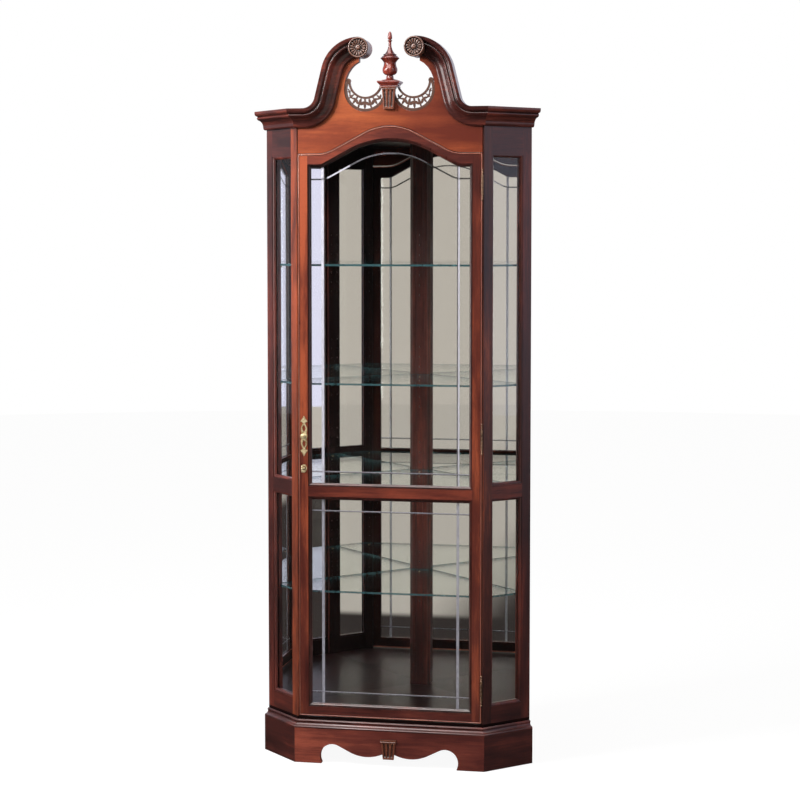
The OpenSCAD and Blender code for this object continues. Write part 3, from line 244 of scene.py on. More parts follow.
def loft(rings, looped=False):
    """Points and faces of a skin over equal rings, capped unless it loops round."""
    count, size = len(rings), len(rings[0])
    points = [p for ring in rings for p in ring]
    faces = []
    for k in range(count if looped else count - 1):
        here, there = k * size, (k + 1) % count * size
        for i in range(size):
            j = (i + 1) % size
            faces.append((here + i, here + j, there + j, there + i))
    if not looped:
        faces.append(tuple(range(size - 1, -1, -1)))
        faces.append(tuple(range((count - 1) * size, count * size)))
    return points, faces


def joined(*parts):
    """One list of points and faces from several."""
    points, faces = [], []
    for some_points, some_faces in parts:
        start = len(points)
        points += list(some_points)
        faces += [tuple(i + start for i in f) for f in some_faces]
    return points, faces


def linked(name, data):
    """A new object in the scene that shows this data."""
    holder = bpy.data.objects.new(name, data)
    bpy.context.scene.collection.objects.link(holder)
    return holder


def closed_mesh(name, points, faces, weld=0):
    """A mesh whose faces all look outward, with points closer than weld made one."""
    mesh = bpy.data.meshes.new(name)
    mesh.from_pydata(points, [], faces)
    work = bmesh.new()
    work.from_mesh(mesh)
    if weld:
        bmesh.ops.remove_doubles(work, verts=work.verts, dist=weld)
    bmesh.ops.recalc_face_normals(work, faces=work.faces)
    work.to_mesh(mesh)
    work.free()
    return mesh


def build(name, shape, material, nodes=(), body="cabinet", smooth=38, seats=()):
    """Makes a piece from points in metres, cuts its seats and hangs it on its body."""
    piece = linked(name, closed_mesh(name, *shape, weld=1e-6))
    if seats:
        cut_seats(piece, seats)
    piece.data.materials.clear()
    piece.data.materials.append(woods()[material])
    piece.data.shade_smooth()
    piece.data.set_sharp_from_angle(angle=radians(smooth))
    if nodes:
        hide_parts(*nodes)
    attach(piece, body)


def cut_seats(piece, shapes):
    """Takes each closed shape out of the piece."""
    cutters = []
    for number, shape in enumerate(shapes):
        name = f"seat_{number}"
        cutter = linked(name, closed_mesh(name, *shape))
        cut = piece.modifiers.new(name, "BOOLEAN")
        cut.operation, cut.solver, cut.object = "DIFFERENCE", "EXACT", cutter
        cutters.append(cutter)
    done = piece.evaluated_get(bpy.context.evaluated_depsgraph_get())
    piece_mesh = bpy.data.meshes.new_from_object(done)
    piece.modifiers.clear()
    piece.data = piece_mesh
    for cutter in cutters:
        bpy.data.objects.remove(cutter)


def drum(x, z, r, y_front, y_back):
    """Closed cylinder whose axis runs into the cabinet."""
    ring = arc(x, z, r, 0, 360, ROUND)[:-1]
    return loft([[place(a, y, b) for a, b in ring] for y in (y_front, y_back)])


def block(low, high):
    """Closed box between two corners in millimetres."""
    rings = [[place(low[0], low[1], z), place(high[0], low[1], z),
              place(high[0], high[1], z), place(low[0], high[1], z)] for z in (low[2], high[2])]
    return loft(rings)


def lathe(profile, y, z):
    """Turned shape about an upright axis; profile is (radius, height)."""
    rings = []
    for radius, height in profile:
        r = max(radius, 1e-4)
        rings.append([place(r * cos(a), y + r * sin(a), z + height)
                      for a in (2 * pi * i / ROUND for i in range(ROUND))])
    return loft(rings)


# ---- shader nodes

class Value:
    """A number that changes over a surface; arithmetic on it adds Math nodes."""

    def __init__(self, finish, socket):
        self.finish, self.socket = finish, socket

    def math(self, operation, *others):
        return self.finish.add("ShaderNodeMath", {"operation": operation}, [self, *others])

    def __add__(self, other):
        return self.math("ADD", other)

    def __mul__(self, other):
        return self.math("MULTIPLY", other)

    def __sub__(self, other):
        return self.math("SUBTRACT", other)

    def __rsub__(self, other):
        return self.finish.add("ShaderNodeMath", {"operation": "SUBTRACT"}, [other, self])

    def __pow__(self, other):
        return self.math("POWER", other)

    def __abs__(self):
        return self.math("ABSOLUTE")

    __radd__, __rmul__ = __add__, __mul__

    def at_least(self, other):
        return self.math("MAXIMUM", other)


class Finish:
    """A material, or the world, as a tree of nodes."""

    def __init__(self, owner):
        self.owner = owner
        owner.use_nodes = True
        self.tree = owner.node_tree
        self.tree.nodes.clear()

    def add(self, kind, settings=None, values=(), out=0):
        """Adds a node: its settings first, then the values or links of its sockets."""
        node = self.tree.nodes.new(kind)
        for key, value in (settings or {}).items():
            if key == "stops":
                ramp = node.color_ramp
                while len(ramp.elements) < len(value):
                    ramp.elements.new(1)
                for stop, (position, shade) in zip(ramp.elements, value):
                    stop.position = position
                    stop.color = (*shade, 1)
            else:
                setattr(node, key, value)
        for key, value in (values.items() if isinstance(values, dict) else enumerate(values)):
            socket = node.inputs[key]
            if isinstance(value, Value):
                self.tree.links.new(value.socket, socket)
            elif hasattr(socket.default_value, "__len__") and len(socket.default_value) == 4 \
                    and len(value) == 3:
                socket.default_value = (*value, 1)
            else:
                socket.default_value = value
        return Value(self, node.outputs[out]) if node.outputs else None

    def noise(self, where, scale, detail=3, roughness=0.5, distortion=0):
        return self.add("ShaderNodeTexNoise", {"noise_dimensions": "3D"}, {
            "Vector": where, "Scale": scale, "Detail": detail, "Roughness": roughness,
            "Distortion": distortion})

    def ramp(self, value, *stops):
        return self.add("ShaderNodeValToRGB", {"stops": stops}, [value])

    def shade(self, value, low, high):
        """0 at low, 1 at high, eased between."""
        return self.add("ShaderNodeMapRange", {"interpolation_type": "SMOOTHSTEP"},
                        {"Value": value, "From Min": low, "From Max": high})

    def mix(self, factor, first, second):
        return self.add("ShaderNodeMix", {"data_type": "RGBA", "blend_type": "MIX"},
                        {0: factor, 6: first, 7: second}, out=2)

    def coordinate(self, kind, axis=None):
        """A texture coordinate, or one axis of it."""
        vector = self.add("ShaderNodeTexCoord", out=kind)
        return self.add("ShaderNodeSeparateXYZ", None, [vector], out=axis) if axis else vector

    def here(self, turn=0.0, stretch=(1, 1, 1), shift=(0, 0, 0)):
        """The point on the piece, turned about the upright and drawn out along its grain."""
        return self.add("ShaderNodeMapping", {"vector_type": "TEXTURE"},
                        {"Vector": self.coordinate("Object"), "Location": shift,
                         "Rotation": (0, 0, turn), "Scale": stretch})

    def hollow(self, distance, samples):
        """1 on open faces, less in corners."""
        return self.add("ShaderNodeAmbientOcclusion", {"samples": samples},
                        {"Distance": distance}, out="AO")

    def ray(self, kind):
        """1 for rays of this kind."""
        return self.add("ShaderNodeLightPath", out=f"Is {kind} Ray")

    def bump(self, height, distance, strength):
        return self.add("ShaderNodeBump", None,
                        {"Height": height, "Distance": distance, "Strength": strength})

    def surface(self, **sockets):
        named = {key.replace("_", " ").title().replace("Ior", "IOR"): value
                 for key, value in sockets.items()}
        return self.add("ShaderNodeBsdfPrincipled", None, named)

    def shader(self, kind, colour, **values):
        """A shader of one colour."""
        return self.add(f"ShaderNode{kind}", None, {"Color": colour, **values})

    def either(self, factor, first, second):
        """One shader where the factor is 0, the other where it is 1."""
        return self.add("ShaderNodeMixShader", None, {0: factor, 1: first, 2: second})

    def by_ray(self, plain, mirrored, seen):
        """Shaders for light that falls, for what mirrors show and for what the camera sees."""
        direct = self.ray("Camera").at_least(self.ray("Transmission"))
        return self.either(direct, self.either(self.ray("Glossy"), plain, mirrored), seen)

    def wear(self, shader):
        """Ends the material or the world with this shader."""
        kind = "World" if isinstance(self.owner, bpy.types.World) else "Material"
        self.add(f"ShaderNodeOutput{kind}", None, {"Surface": shader})
        return self.owner


def finish(name):
    return Finish(bpy.data.materials.new(name))


GRAINS = {
    "up": (0.0, (1, 1, 14)),
    "across": (0.0, (14, 1, 1)),
    "right": (radians(45), (14, 1, 1)),
    "left": (radians(-45), (14, 1, 1)),
}


SATIN = 0.24  # roughness of the smoothest woods


def shaded(paint, by):
    return tuple(v * by for v in paint)


def between(first, second):
    """The colour midway between two, by ratio."""
    return tuple(sqrt(a * b) for a, b in zip(first, second))


def polished_wood(name, paint, grain, figure, shift, rough=0.345, backs=1.0, corners=7,
                  clear=0.82, stripes=0.5, fade=0.0, lacquer=0.45):
    """Lacquered mahogany: figure, streaks and pores under a clear coat, painted shade in the
    corners.

    backs is what faces turned inward keep of their colour, the rest being painted shade, corners
    the reach of the painted shade in the corners in millimetres, clear the openness it ends at, and
    fade how much painted shade darkens the wood to the right.
    Of two paints, the first lends the light figure and the last the dark grain.
    """
    colours = bpy.context.scene.cabinet_colours
    pale, deep = (tuple(getattr(colours, f"{paint.split()[i]}_{tone}"))
                  for i, tone in ((0, "light"), (-1, "dark")))
    turn, stretch = GRAINS[grain]
    wood = finish(name)
    along = wood.here(turn, stretch, shift)
    broad = wood.noise(along, 14, 3, 0.5, 0.9 * figure)
    streak = wood.noise(along, 150, 4, 0.6, 0.3)
    fine = wood.noise(along, 640, 2, 0.5)
    slow = wood.here(turn, tuple(1 + (v - 1) * 0.1 for v in stretch), shift)
    cloud = wood.noise(slow, 7, 3, 0.55)
    tone = (broad - 0.5) * (0.9 * figure) + (streak - 0.5) * stripes + (fine - 0.5) * 0.25 \
        + (cloud - 0.5) * (1.1 * figure) + 0.5
    # painted shade: the wood darkens towards the right, away from the key lamp at the upper left
    if fade:
        tone = tone + (0.5 - wood.shade(wood.coordinate("Object", "X"), -0.25, 0.25)) * fade
    body = wood.ramp(tone, (0.22, deep), (0.5, between(pale, deep)), (0.78, pale))
    pores = wood.shade(wood.noise(along, 1500, 1), 0.6, 0.74)
    # painted shade: occlusion darkens corners, coves and joints, which share the pores' dark colour
    corner_shade = 1 - wood.shade(wood.hollow(corners * MM, 4), 0.35, clear)
    tint = wood.mix((pores * 0.45).at_least(corner_shade * 0.85), body, shaded(deep, 0.22))
    coat, coat_rough, gleam = lacquer, 0.08, min(lacquer, 0.3)
    if backs < 1:  # a fuller, softer coat, which faces turned inward lack; those faces also get painted shade
        inward = wood.coordinate("Normal", "Y") \
            - wood.coordinate("Normal", "X") * wood.coordinate("Object", "X") * 3.5
        behind = wood.shade(inward, 0.2, 0.6)
        # painted shade: faces turned inward, which the lamps barely reach, take a darkened colour
        tint = wood.mix(behind * (1 - backs), tint, shaded(deep, 0.3))
        coat, coat_rough, gleam = (lacquer + 0.33) * (1 - behind), 0.29, 0.1
        rough = rough + behind * 0.3
    relief = wood.bump(streak * 0.5 - pores, 0.0001, 0.3)
    return wood.wear(wood.surface(base_color=tint, roughness=rough + streak * 0.1, normal=relief,
                                  specular_ior_level=gleam, coat_weight=coat,
                                  coat_roughness=coat_rough))


def glazed_and_shaded_carving(name, high, low, opens=0.5):
    """Carved wood with rubbed high parts, and in its hollows a dark glazing together with painted
    shade.
    """
    high, low = tuple(high), tuple(low)
    wood = finish(name)
    spot = wood.here()
    patch = wood.noise(spot, 210, 4, 0.6)
    fleck = wood.shade(wood.noise(spot, 900, 2), 0.58, 0.7)
    # painted shade with the glazing: hollows found by occlusion take the low colour
    open_part = wood.shade(wood.hollow(6 * MM, 8) * 0.9 + patch * 0.3, opens, 1.08)
    body = wood.mix(open_part, low, wood.mix(patch, between(high, low), high))
    tint = wood.mix(fleck * 0.35, body, low)
    relief = wood.bump(patch, 0.0002, 0.4)
    return wood.wear(wood.surface(base_color=tint, roughness=0.3 + patch * 0.2, normal=relief,
                                  coat_weight=0.4, coat_roughness=0.12))


def antique_brass(name, bright, dull, metallic):
    """Rubbed brass with tarnish in patches."""
    metal = finish(name)
    spot = metal.here()
    patch = metal.noise(spot, 160, 4, 0.6, 0.4)
    grain = metal.noise(spot, 1400, 2)
    rubbed = metal.shade(patch + grain * 0.25, 0.42, 0.82)
    tint = metal.mix(rubbed, tuple(dull), tuple(bright))
    return metal.wear(metal.surface(base_color=tint, metallic=metallic,
                                    roughness=0.42 - rubbed * 0.16,
                                    normal=metal.bump(grain, 0.00005, 0.3)))


def sheen_of_glass(glass):
    """Share of light that a clean glass face sends back, the same from both sides."""
    facing = glass.add("ShaderNodeLayerWeight", None, {"Blend": 0.5}, out="Facing")
    return 0.03 + 0.9 * facing ** 5


def pane_glass(name, tint):
    """Clear pane that mirrors more at a glance and lets the light through."""
    glass = finish(name)
    clear = glass.shader("BsdfTransparent", tint)
    gleam = glass.surface(base_color=(0.94, 0.97, 0.96), metallic=1.0, roughness=0.015)
    return glass.wear(glass.either(sheen_of_glass(glass), clear, gleam))


def shelf_glass(name, tint, edge):
    """Plate glass with clear faces and ground, sea-green edges."""
    glass = finish(name)
    up = glass.add("ShaderNodeSeparateXYZ", None,
                   [glass.add("ShaderNodeNewGeometry", out="Normal")], out="Z")
    rim = 1 - glass.shade(abs(up), 0.3, 0.7)
    ripple = glass.noise(glass.here(stretch=(1, 1, 3)), 60, 3)
    edge_tint = glass.mix(ripple, shaded(edge, 0.45), tuple(edge))
    clear = glass.shader("BsdfTransparent", tint)
    gleam = glass.surface(base_color=glass.mix(rim, (0.93, 0.98, 0.96), edge_tint),
                          metallic=1 - rim, roughness=0.015 + rim * 0.2)
    share = sheen_of_glass(glass).at_least(rim * 0.8)
    return glass.wear(glass.either(share, clear, gleam))


def cut_glass(name, tint, share):
    """Ground facets of the lines cut in the door's panes, frosted, with a tint that paints the
    reflection each facet shows, from bright to black.
    """
    glass = finish(name)
    spot = glass.noise(glass.here(stretch=(1, 1, 4)), 240, 3)
    ground = glass.surface(base_color=glass.mix(spot, shaded(tint, 0.75), tint),
                           roughness=0.3 + spot * 0.2)
    clear = glass.shader("BsdfTransparent", (1, 1, 1))
    return glass.wear(glass.either(share - 0.2 + spot * 0.4, clear, ground))


def silvered_mirror(name):
    """Mirror with a faint haze."""
    glass = finish(name)
    haze = glass.noise(glass.here(), 14, 4)
    return glass.wear(glass.surface(base_color=(0.86, 0.87, 0.86), metallic=1.0,
                                    roughness=0.01 + glass.shade(haze, 0.5, 0.8) * 0.02))


def woods():
    """The named finishes, made once."""
    made = {m.name: m for m in bpy.data.materials}
    if "door_wood_up" in made:
        return made
    c = bpy.context.scene.cabinet_colours
    for grain in GRAINS:
        polished_wood(f"case_wood_{grain}", "case", grain, 0.9, (0.3, 0.1, 0), backs=0.1)
        if grain != "up":
            # the crown's coves take a wide, strong painted shade
            polished_wood(f"crown_wood_{grain}", "crown", grain, 0.7, (0.7, 0, 0.2), SATIN,
                          corners=22, clear=0.97)
    polished_wood("door_wood_across", "rail", "across", 1.0, (0, 0.4, 0.1), backs=0.1)
    # painted light: the bottom rail, which lies in shade, gets a lighter copy of the rail wood
    polished_wood("door_wood_low", "plinth rail", "across", 1.0, (0, 0.4, 0.1), backs=0.1)
    polished_wood("board_wood", "board", "across", 1.0, (0.15, 0.2, 0.35),
                  backs=0.3, corners=16, stripes=0.25, fade=0.4)
    # the bead's pale colours are partly a painted highlight
    polished_wood("bead_wood", "bead", "up", 0.5, (0, 0.3, 0), SATIN, corners=3)
    polished_wood("plinth_wood", "plinth", "across", 1.0, (0.5, 0.3, 0.1), fade=0.4)
    # dark: partly painted shade on the sticking
    polished_wood("stick_wood", "stick", "up", 0.6, (0.2, 0.1, 0.4), SATIN)
    polished_wood("turned_wood", "turned", "up", 0.6, (0.1, 0.7, 0), SATIN, corners=14,
                  clear=0.95)
    polished_wood("post_wood", "door case", "up", 0.8, (0.9, 0.3, 0), backs=0.1, fade=0.3)
    polished_wood("inner_wood_up", "inner", "up", 0.8, (0.2, 0.6, 0))
    # very dark: painted shade on the ceiling's underside
    polished_wood("inner_wood_across", "deck", "across", 0.8, (0.4, 0.2, 0), SATIN + 0.035,
                  lacquer=0.08)
    glazed_and_shaded_carving("carving_wood", c.carving_high, c.carving_low)
    glazed_and_shaded_carving("key_wood", c.key_high, c.key_low, 0.72)
    glazed_and_shaded_carving("fret_wood", shaded(c.carving_high, 0.7), c.carving_low)
    antique_brass("hardware_brass", c.brass_bright, c.brass_dull, 0.25)
    antique_brass("hinge_brass", c.hinge_bright, c.hinge_dull, 0.6)
    pane_glass("pane", (0.985, 0.99, 0.988))
    shelf_glass("shelf", (0.955, 0.975, 0.967), c.shelf_edge)
    # the cut lines' tones are painted reflections, from bright to black
    cut_glass("cut_bright", (0.8, 0.78, 0.88), 0.72)
    cut_glass("cut_soft", (0.5, 0.49, 0.56), 0.6)
    cut_glass("cut_grey", (0.17, 0.16, 0.18), 0.6)
    cut_glass("cut_black", (0.012, 0.011, 0.012), 0.8)
    silvered_mirror("mirror_silver")
    polished_wood("door_wood_up", "door", "up", 1.0, (0, 0, 0.5), backs=0.1, fade=0.2)
    return {m.name: m for m in bpy.data.materials}


def dress(material, *nodes, ease=0.0):
    """Gives CAD pieces their finish, and rounds their arrises where ease is set."""
    for name in nodes:
        piece = NODES[name]
        piece.data.materials.clear()
        piece.data.materials.append(woods()[material])
        if ease:
            flat = piece.modifiers.new("flat faces", "DECIMATE")
            flat.decimate_type, flat.angle_limit = "DISSOLVE", radians(0.5)
            soft = piece.modifiers.new("eased arrises", "BEVEL")
            soft.width, soft.segments, soft.limit_method = ease * MM, 2, "ANGLE"
            soft.angle_limit, soft.use_clamp_overlap = radians(50), True


# ---- mouldings and carving

def crown_profile(s):
    """Crown moulding, (height, distance out): bead, cove, astragal, ovolo and fascia."""
    high, out = mm(s.height), mm(s.out)
    line = [(0, 0), (0, 5)] + swapped(arc(5, 7, 7, -75, 0, 8)) \
        + swapped(arc(33, 9, 20.5, 180, 98, 14)) + swapped(arc(30, 35, 4.2, -60, 60, 10)) \
        + [(40.5, 33), (41, 35)] + swapped(arc(34.4, high - 6, out - 34.6, -75, -8, 10)) \
        + [(high - 5.5, out), (high - 0.5, out), (high, out - 0.5), (high, 0)]
    return tidy_line(line)


def base_profile():
    """Base moulding, (height, distance out): fillet, ovolo, cove and bead."""
    line = [(0, 0), (0, 15.2), (3, 15.2)] + swapped(arc(11.2, 3, 4, 10, 80, 8)) \
        + [(7.4, 10.6)] + swapped(arc(12.2, 15.5, 8, 255, 185, 10)) \
        + swapped(arc(2.6, 20, 3, -60, 75, 10)) + [(24, 2.4), (24, 0)]
    return tidy_line(line)


def corner_ring(profile, half, base):
    """Section at the right front mitre."""
    return [place(half + out * MITRE, -out, base + high) for high, out in profile]


def side_end_ring(profile, half, side, base):
    """Section at the back end of the right side."""
    return [place(half + (side + out) / ROOT2, (side - out) / ROOT2, base + high)
            for high, out in profile]


def neck_line(s, high, steps=44):
    """x and z of the outline's height along the right swan neck."""
    slope = degrees(s.slope)
    eye_x, eye_z, low = mm(s.eye_x), mm(s.eye_z), mm(s.low)
    top_r, low_r = mm(s.top_r), mm(s.low_r)
    top_x = eye_x + top_r * sin(s.slope)
    top_z = eye_z + top_r * cos(s.slope)
    run = (top_z - low - low_r * (1 - cos(s.slope))) / sin(s.slope)
    bend_x = top_x + run * cos(s.slope) + low_r * sin(s.slope)
    return arc(bend_x, low + low_r, low_r - high, 270, 270 - slope, steps) \
        + arc(eye_x, eye_z, top_r + high, 90 - slope, 90, steps)


def rosette_centre(s):
    return mm(s.eye_x), mm(s.eye_z) + mm(s.top_r) + mm(s.height) / 2 - 4


def make_crown(s):
    profile = crown_profile(s)
    lines = [neck_line(s, high) for high, _ in profile]
    half, low = mm(s.half_front), mm(s.low)
    rings = [corner_ring(profile, half, low)]
    for k in range(len(lines[0])):
        rings.append([place(line[k][0], -out, line[k][1])
                      for line, (_, out) in zip(lines, profile)])
    neck = loft(rings)
    side = loft([corner_ring(profile, half, low),
                 side_end_ring(profile, half, mm(s.side), low)])
    x, z = rosette_centre(s)
    seat = drum(x, z, mm(s.rosette_r) - 0.2, -70, 5)
    for hand, turn in (("right", lambda shape: shape), ("left", lambda shape: flipped(*shape))):
        build(f"swan_neck_moulding_{hand}", turn(neck), "crown_wood_across",
              [f"swan_neck_{hand}"], seats=[turn(seat)])
        build(f"crown_moulding_{hand}", turn(side), f"crown_wood_{hand}",
              [f"crown_{hand}"])


def make_base(s):
    profile = base_profile()
    half, low = mm(s.half_front), box_mm("base_mouldings")[0][2]
    corner, end = corner_ring(profile, half, low), side_end_ring(profile, half, mm(s.side), low)
    other = [[(-x, y, z) for x, y, z in ring] for ring in (end, corner)]
    build("base_moulding", loft(other + [corner, end]), "case_wood_across",
          ["base_mouldings"])


def rosette_height(radius, angle, reach, rim, petals):
    """How far the carved face of a rosette stands out at a radius and an angle."""
    floor, button_r, rim_w = reach - 8.4, 7.6, 5.4
    if radius < button_r:
        dome = floor + 3.6 + 4.6 * sqrt(max(0, 1 - (radius / 8.2) ** 2))
        return dome - 1.2 * exp(-(radius / 2) ** 2)
    if radius > rim - rim_w:
        return reach - 5 + 3 * sqrt(max(0, 1 - ((radius - rim) * 2 / rim_w + 1) ** 2))
    share = (radius - button_r) / (rim - rim_w - button_r)
    phase = (angle * petals / (2 * pi)) % 1 - 0.5
    width = 0.13 + 0.34 * sin(pi * min(1, share * 0.62 + 0.08))
    across = abs(phase) / width
    along = 1 - max(0, (share - 0.72) / 0.28) ** 2
    petal = sqrt(max(0, 1 - across ** 2)) * sqrt(max(0, along))
    vein = 0.5 * exp(-(across / 0.16) ** 2) * share
    return floor + petal * (1.6 + 2.6 * share) - vein * petal


def make_rosettes(s):
    x, z = rosette_centre(s)
    rim = mm(s.rosette_r)
    reach = mm(s.out) + mm(s.rosette_out)
    back = mm(s.out) - 2
    radii = [rim - 2, rim - 2, rim - 0.6, rim, rim - 0.1] \
        + [rim - 0.5 - i * 0.62 for i in range(47)]
    outs = {0: 0.0, 1: back, 2: back + 0.8, 3: back + 2.2}
    steps = s.petals * 12
    for hand, sign in (("right", 1), ("left", -1)):
        rings = []
        for k, radius in enumerate(radii):
            ring = []
            for i in range(steps):
                angle = 2 * pi * i / steps
                r = max(radius, 0.05)
                out = outs.get(k, rosette_height(r, angle, reach, rim, s.petals))
                ring.append(place(sign * x + r * cos(angle), -out, z + r * sin(angle)))
            rings.append(ring)
        build(f"rosette_{hand}", loft(rings), "carving_wood", ["rosettes"],
              smooth=60)


def fluted_key(name, node, top, bottom, thick, band, flute_r, front):
    """Wedge-shaped block with three flutes and a moulded band along its top."""
    (_, _, base), (_, _, lid) = box_mm(node)
    tall = lid - base
    across, up = 60, 70
    rows = []
    for j in range(up + 1):
        v = tall * j / up
        half = (bottom + (top - 3 - bottom) * v / tall) / 2
        in_band = v > tall - band
        if in_band:
            half = top / 2
        row = [place(-half, front, base + v)]
        for i in range(across + 1):
            u = -half + 2 * half * i / across
            out = thick + 2 if in_band else thick
            if in_band:
                out -= 1.2 * exp(-((v - tall + band * 0.62) / 0.7) ** 2)
            else:
                for k in (-1, 0, 1):
                    line = k * (bottom * 0.28 + (top - bottom) * 0.28 * v / tall)
                    ends = min(v - tall * 0.1, tall - band - 3 - v)
                    room = flute_r * sqrt(max(0, min(1, 0.15 + ends / flute_r)))
                    if abs(u - line) < room:
                        out -= sqrt(room ** 2 - (u - line) ** 2)
            edge = min(i, across - i) / across * 2 * half
            out -= max(0, 0.8 - edge) ** 2
            row.append(place(u, front - out, base + v))
        row.append(place(half, front, base + v))
        rows.append(row)
    build(name, loft(rows), "key_wood", [node], smooth=50)


def urn_profile():
    """(radius, height) up the finial's urn, from its foot to the lip of its lid."""
    return [(0, 0), (24.2, 0), (24.8, 0.6), (24.8, 2.2), (23.8, 2.9)] \
        + curve((22, 3.2), (14, 4.4), (11, 8), 6) + [(10.9, 12.2)] \
        + curve((10.9, 12.2), (10.8, 14.6), (9, 15), 4) + [(9, 16.2)] \
        + curve((9.2, 16.6), (22.5, 20), (22.3, 33), 16) \
        + curve((22, 36), (18, 46), (17.9, 51), 12) \
        + curve((18.2, 54), (22, 61), (27.3, 65), 12) + arc(26.9, 66.4, 1.1, -60, 80, 6) \
        + curve((26.4, 67.9), (23, 73), (18.4, 74), 8) + arc(18.4, 76.6, 1.5, -80, 80, 8) \
        + [(16.4, 78.4)]


def spire_profile():
    """(radius, height) up the finial's spire, with its ring and its bud."""
    return curve((15.6, 79.2), (5, 90), (4.3, 106), 18) + [(4.2, 114.8)] \
        + arc(5.4, 117.6, 1.5, -75, 75, 8) + [(3.6, 120), (3.6, 121.2), (5.2, 121.6)] \
        + curve((6.2, 122.7), (7.4, 130), (5.4, 136), 10) \
        + curve((5.3, 136.6), (4.6, 142.5), (0, FINIAL_HEIGHT), 10)


def make_finial():
    (_, front, foot), (_, back, tip) = box_mm("finial")
    size = (tip - foot) / FINIAL_HEIGHT
    profile = [(r * size, h * size) for r, h in tidy_line(urn_profile() + spire_profile())]
    build("finial_turning", lathe(profile, (front + back) / 2, foot), "turned_wood",
          ["finial"], smooth=50)


def make_finial_cap():
    (left, front, foot), (right, back, lid) = box_mm("finial_cap")
    half_x, half_y, tall = (right - left) / 2, (back - front) / 2, lid - foot
    middle = (front + back) / 2
    cove = [(6 - 3 * (1 - cos(a)), tall * 0.3 + 4.4 * sin(a))
            for a in (radians(i) for i in range(0, 91, 10))]
    line = [(7.5, 0), (6, 0.6)] + swapped(arc(tall * 0.3, 6.4, 3.2, 180, 90, 1)) \
        + [(6, tall * 0.3)] + cove + [(2.4, tall * 0.56), (2.4, tall * 0.62)] \
        + swapped(arc(tall * 0.8, tall * 0.2, tall * 0.2, 270, 450, 14)) + [(4.2, tall)]
    rings = []
    for inset, height in tidy_line([(i, h) for i, h in line if i >= -0.001]):
        a, b = half_x - max(inset, 0), half_y - max(inset, 0)
        z = foot + min(max(height, 0), tall)
        rings.append([place(x, middle + y, z) for x, y in ((-a, -b), (a, -b), (a, b), (-a, b))])
    build("finial_cap_moulding", loft(rings), "turned_wood", ["finial_cap"])


# ---- door

def half_arch(half, rise, crown_r, z, d, steps=30):
    turn = radians(ARCH_SLOPE)
    ease_r = (half * sin(turn) - rise * cos(turn)) / (1 - cos(turn)) - crown_r
    return arc(0, z + rise - crown_r, crown_r + d, 90, 90 - ARCH_SLOPE, steps) \
        + arc(half, z + ease_r, ease_r - d, 270 - ARCH_SLOPE, 270, steps)[1:]


def whole_arch(*shape):
    right = half_arch(*shape)
    return [(-x, z) for x, z in reversed(right)] + right[1:]


def outline(edge, low, top, d, arch=()):
    """Loop d inside an upright oblong, with an arch between its shoulders."""
    return [(-edge + d, low + d), (-edge + d, top - d), *arch, (edge - d, top - d),
            (edge - d, low + d)]


def door_loop(s, d):
    top = mm(s.shoulder)
    return outline(mm(s.half), mm(s.low), top, d,
                   whole_arch(mm(s.arch_half), mm(s.rise), mm(s.crown_r), top, -d))


def opening_edge(s):
    return mm(s.half) - mm(s.bead) - mm(s.stile)


def opening_arch(s, d):
    """Arch of the upper opening, raised by d."""
    return whole_arch(mm(s.open_half), mm(s.open_rise), mm(s.open_crown_r),
                      mm(s.open_shoulder), d)


def upper_loop(s, d):
    return outline(opening_edge(s), mm(s.mid_top), mm(s.open_shoulder), d, opening_arch(s, -d))


def lower_loop(s, d):
    return outline(opening_edge(s), mm(s.bottom_top), mm(s.mid_low), d)


def framed(loop, section):
    """Frame swept around a loop; the section is (distance in, depth)."""
    return loft([[place(x, depth, z) for x, z in loop(inset)] for inset, depth in section],
                looped=True)


def make_door_mouldings(s):
    bead, edge = mm(s.bead), mm(s.half)
    nose = bead / 2 - 0.7
    section = arc(nose, nose - 1.2, nose, 180, 360, 14) \
        + [(bead - 1.4, 3), (bead, 3), (bead, 20), (0, 20)]
    seats = []
    for z in HINGE_HEIGHTS:
        seats.append(block((edge - 1.5, -20, z - HINGE_HALF), (edge + 1, 16.3, z + HINGE_HALF)))
    seats.append(block((-edge - 1, 4.7, LOCK_HEIGHT - 14.3),
                       (-edge + 26.3, 16.3, LOCK_HEIGHT + 24.3)))
    build("door_bead", framed(lambda d: door_loop(s, d), section), "bead_wood",
          ["door_edge_bead"], "door", seats=seats)
    section = [(0, 1.2), (1.7, 1.2), (2, 1.35), (2.3, 2)] + arc(2.4, 7.6, 5.6, -80, -12, 12) \
        + [(8.8, 7.4), (9.2, 7.5), (10, 8.4), (10, 11), (0, 11)]
    for name, loop in (("upper", upper_loop), ("lower", lower_loop)):
        build(f"glass_moulding_{name}", framed(lambda d: loop(s, d), section),
              "stick_wood", ["door_mouldings"], "door")


def ribbon(line, half, y_front, y_back):
    """Thin strip that follows a line on the facade."""
    rings = []
    for i, (x, z) in enumerate(line):
        before, after = line[max(i - 1, 0)], line[min(i + 1, len(line) - 1)]
        dx, dz = after[0] - before[0], after[1] - before[1]
        size = hypot(dx, dz)
        nx, nz = -dz / size * half, dx / size * half
        rings.append([place(x + nx, y_front, z + nz), place(x + nx, y_back, z + nz),
                      place(x - nx, y_back, z - nz), place(x - nx, y_front, z - nz)])
    return loft(rings)


def close_set(line, step=3):
    """The same line with points no farther apart than about a step."""
    points = []
    for (x0, z0), (x1, z1) in zip(line, line[1:]):
        parts = max(1, round(dist((x0, z0), (x1, z1)) / step))
        points += [(x0 + (x1 - x0) * i / parts, z0 + (z1 - z0) * i / parts)
                   for i in range(parts)]
    return points + [line[-1]]


# The arched line's facets: distance from its middle, half width, and tones of painted reflection
# from left to right
ARCHED_FACETS = (
    (1.2, 1.0, ("cut_black", "cut_bright", "cut_grey", "cut_grey", "cut_black")),
    (-1.2, 1.2, ("cut_black", "cut_bright", "cut_grey", "cut_black", "cut_black")),
)
TONE_ENDS = (-190, -120, 20, 110)  # x at which one tone gives way to the next


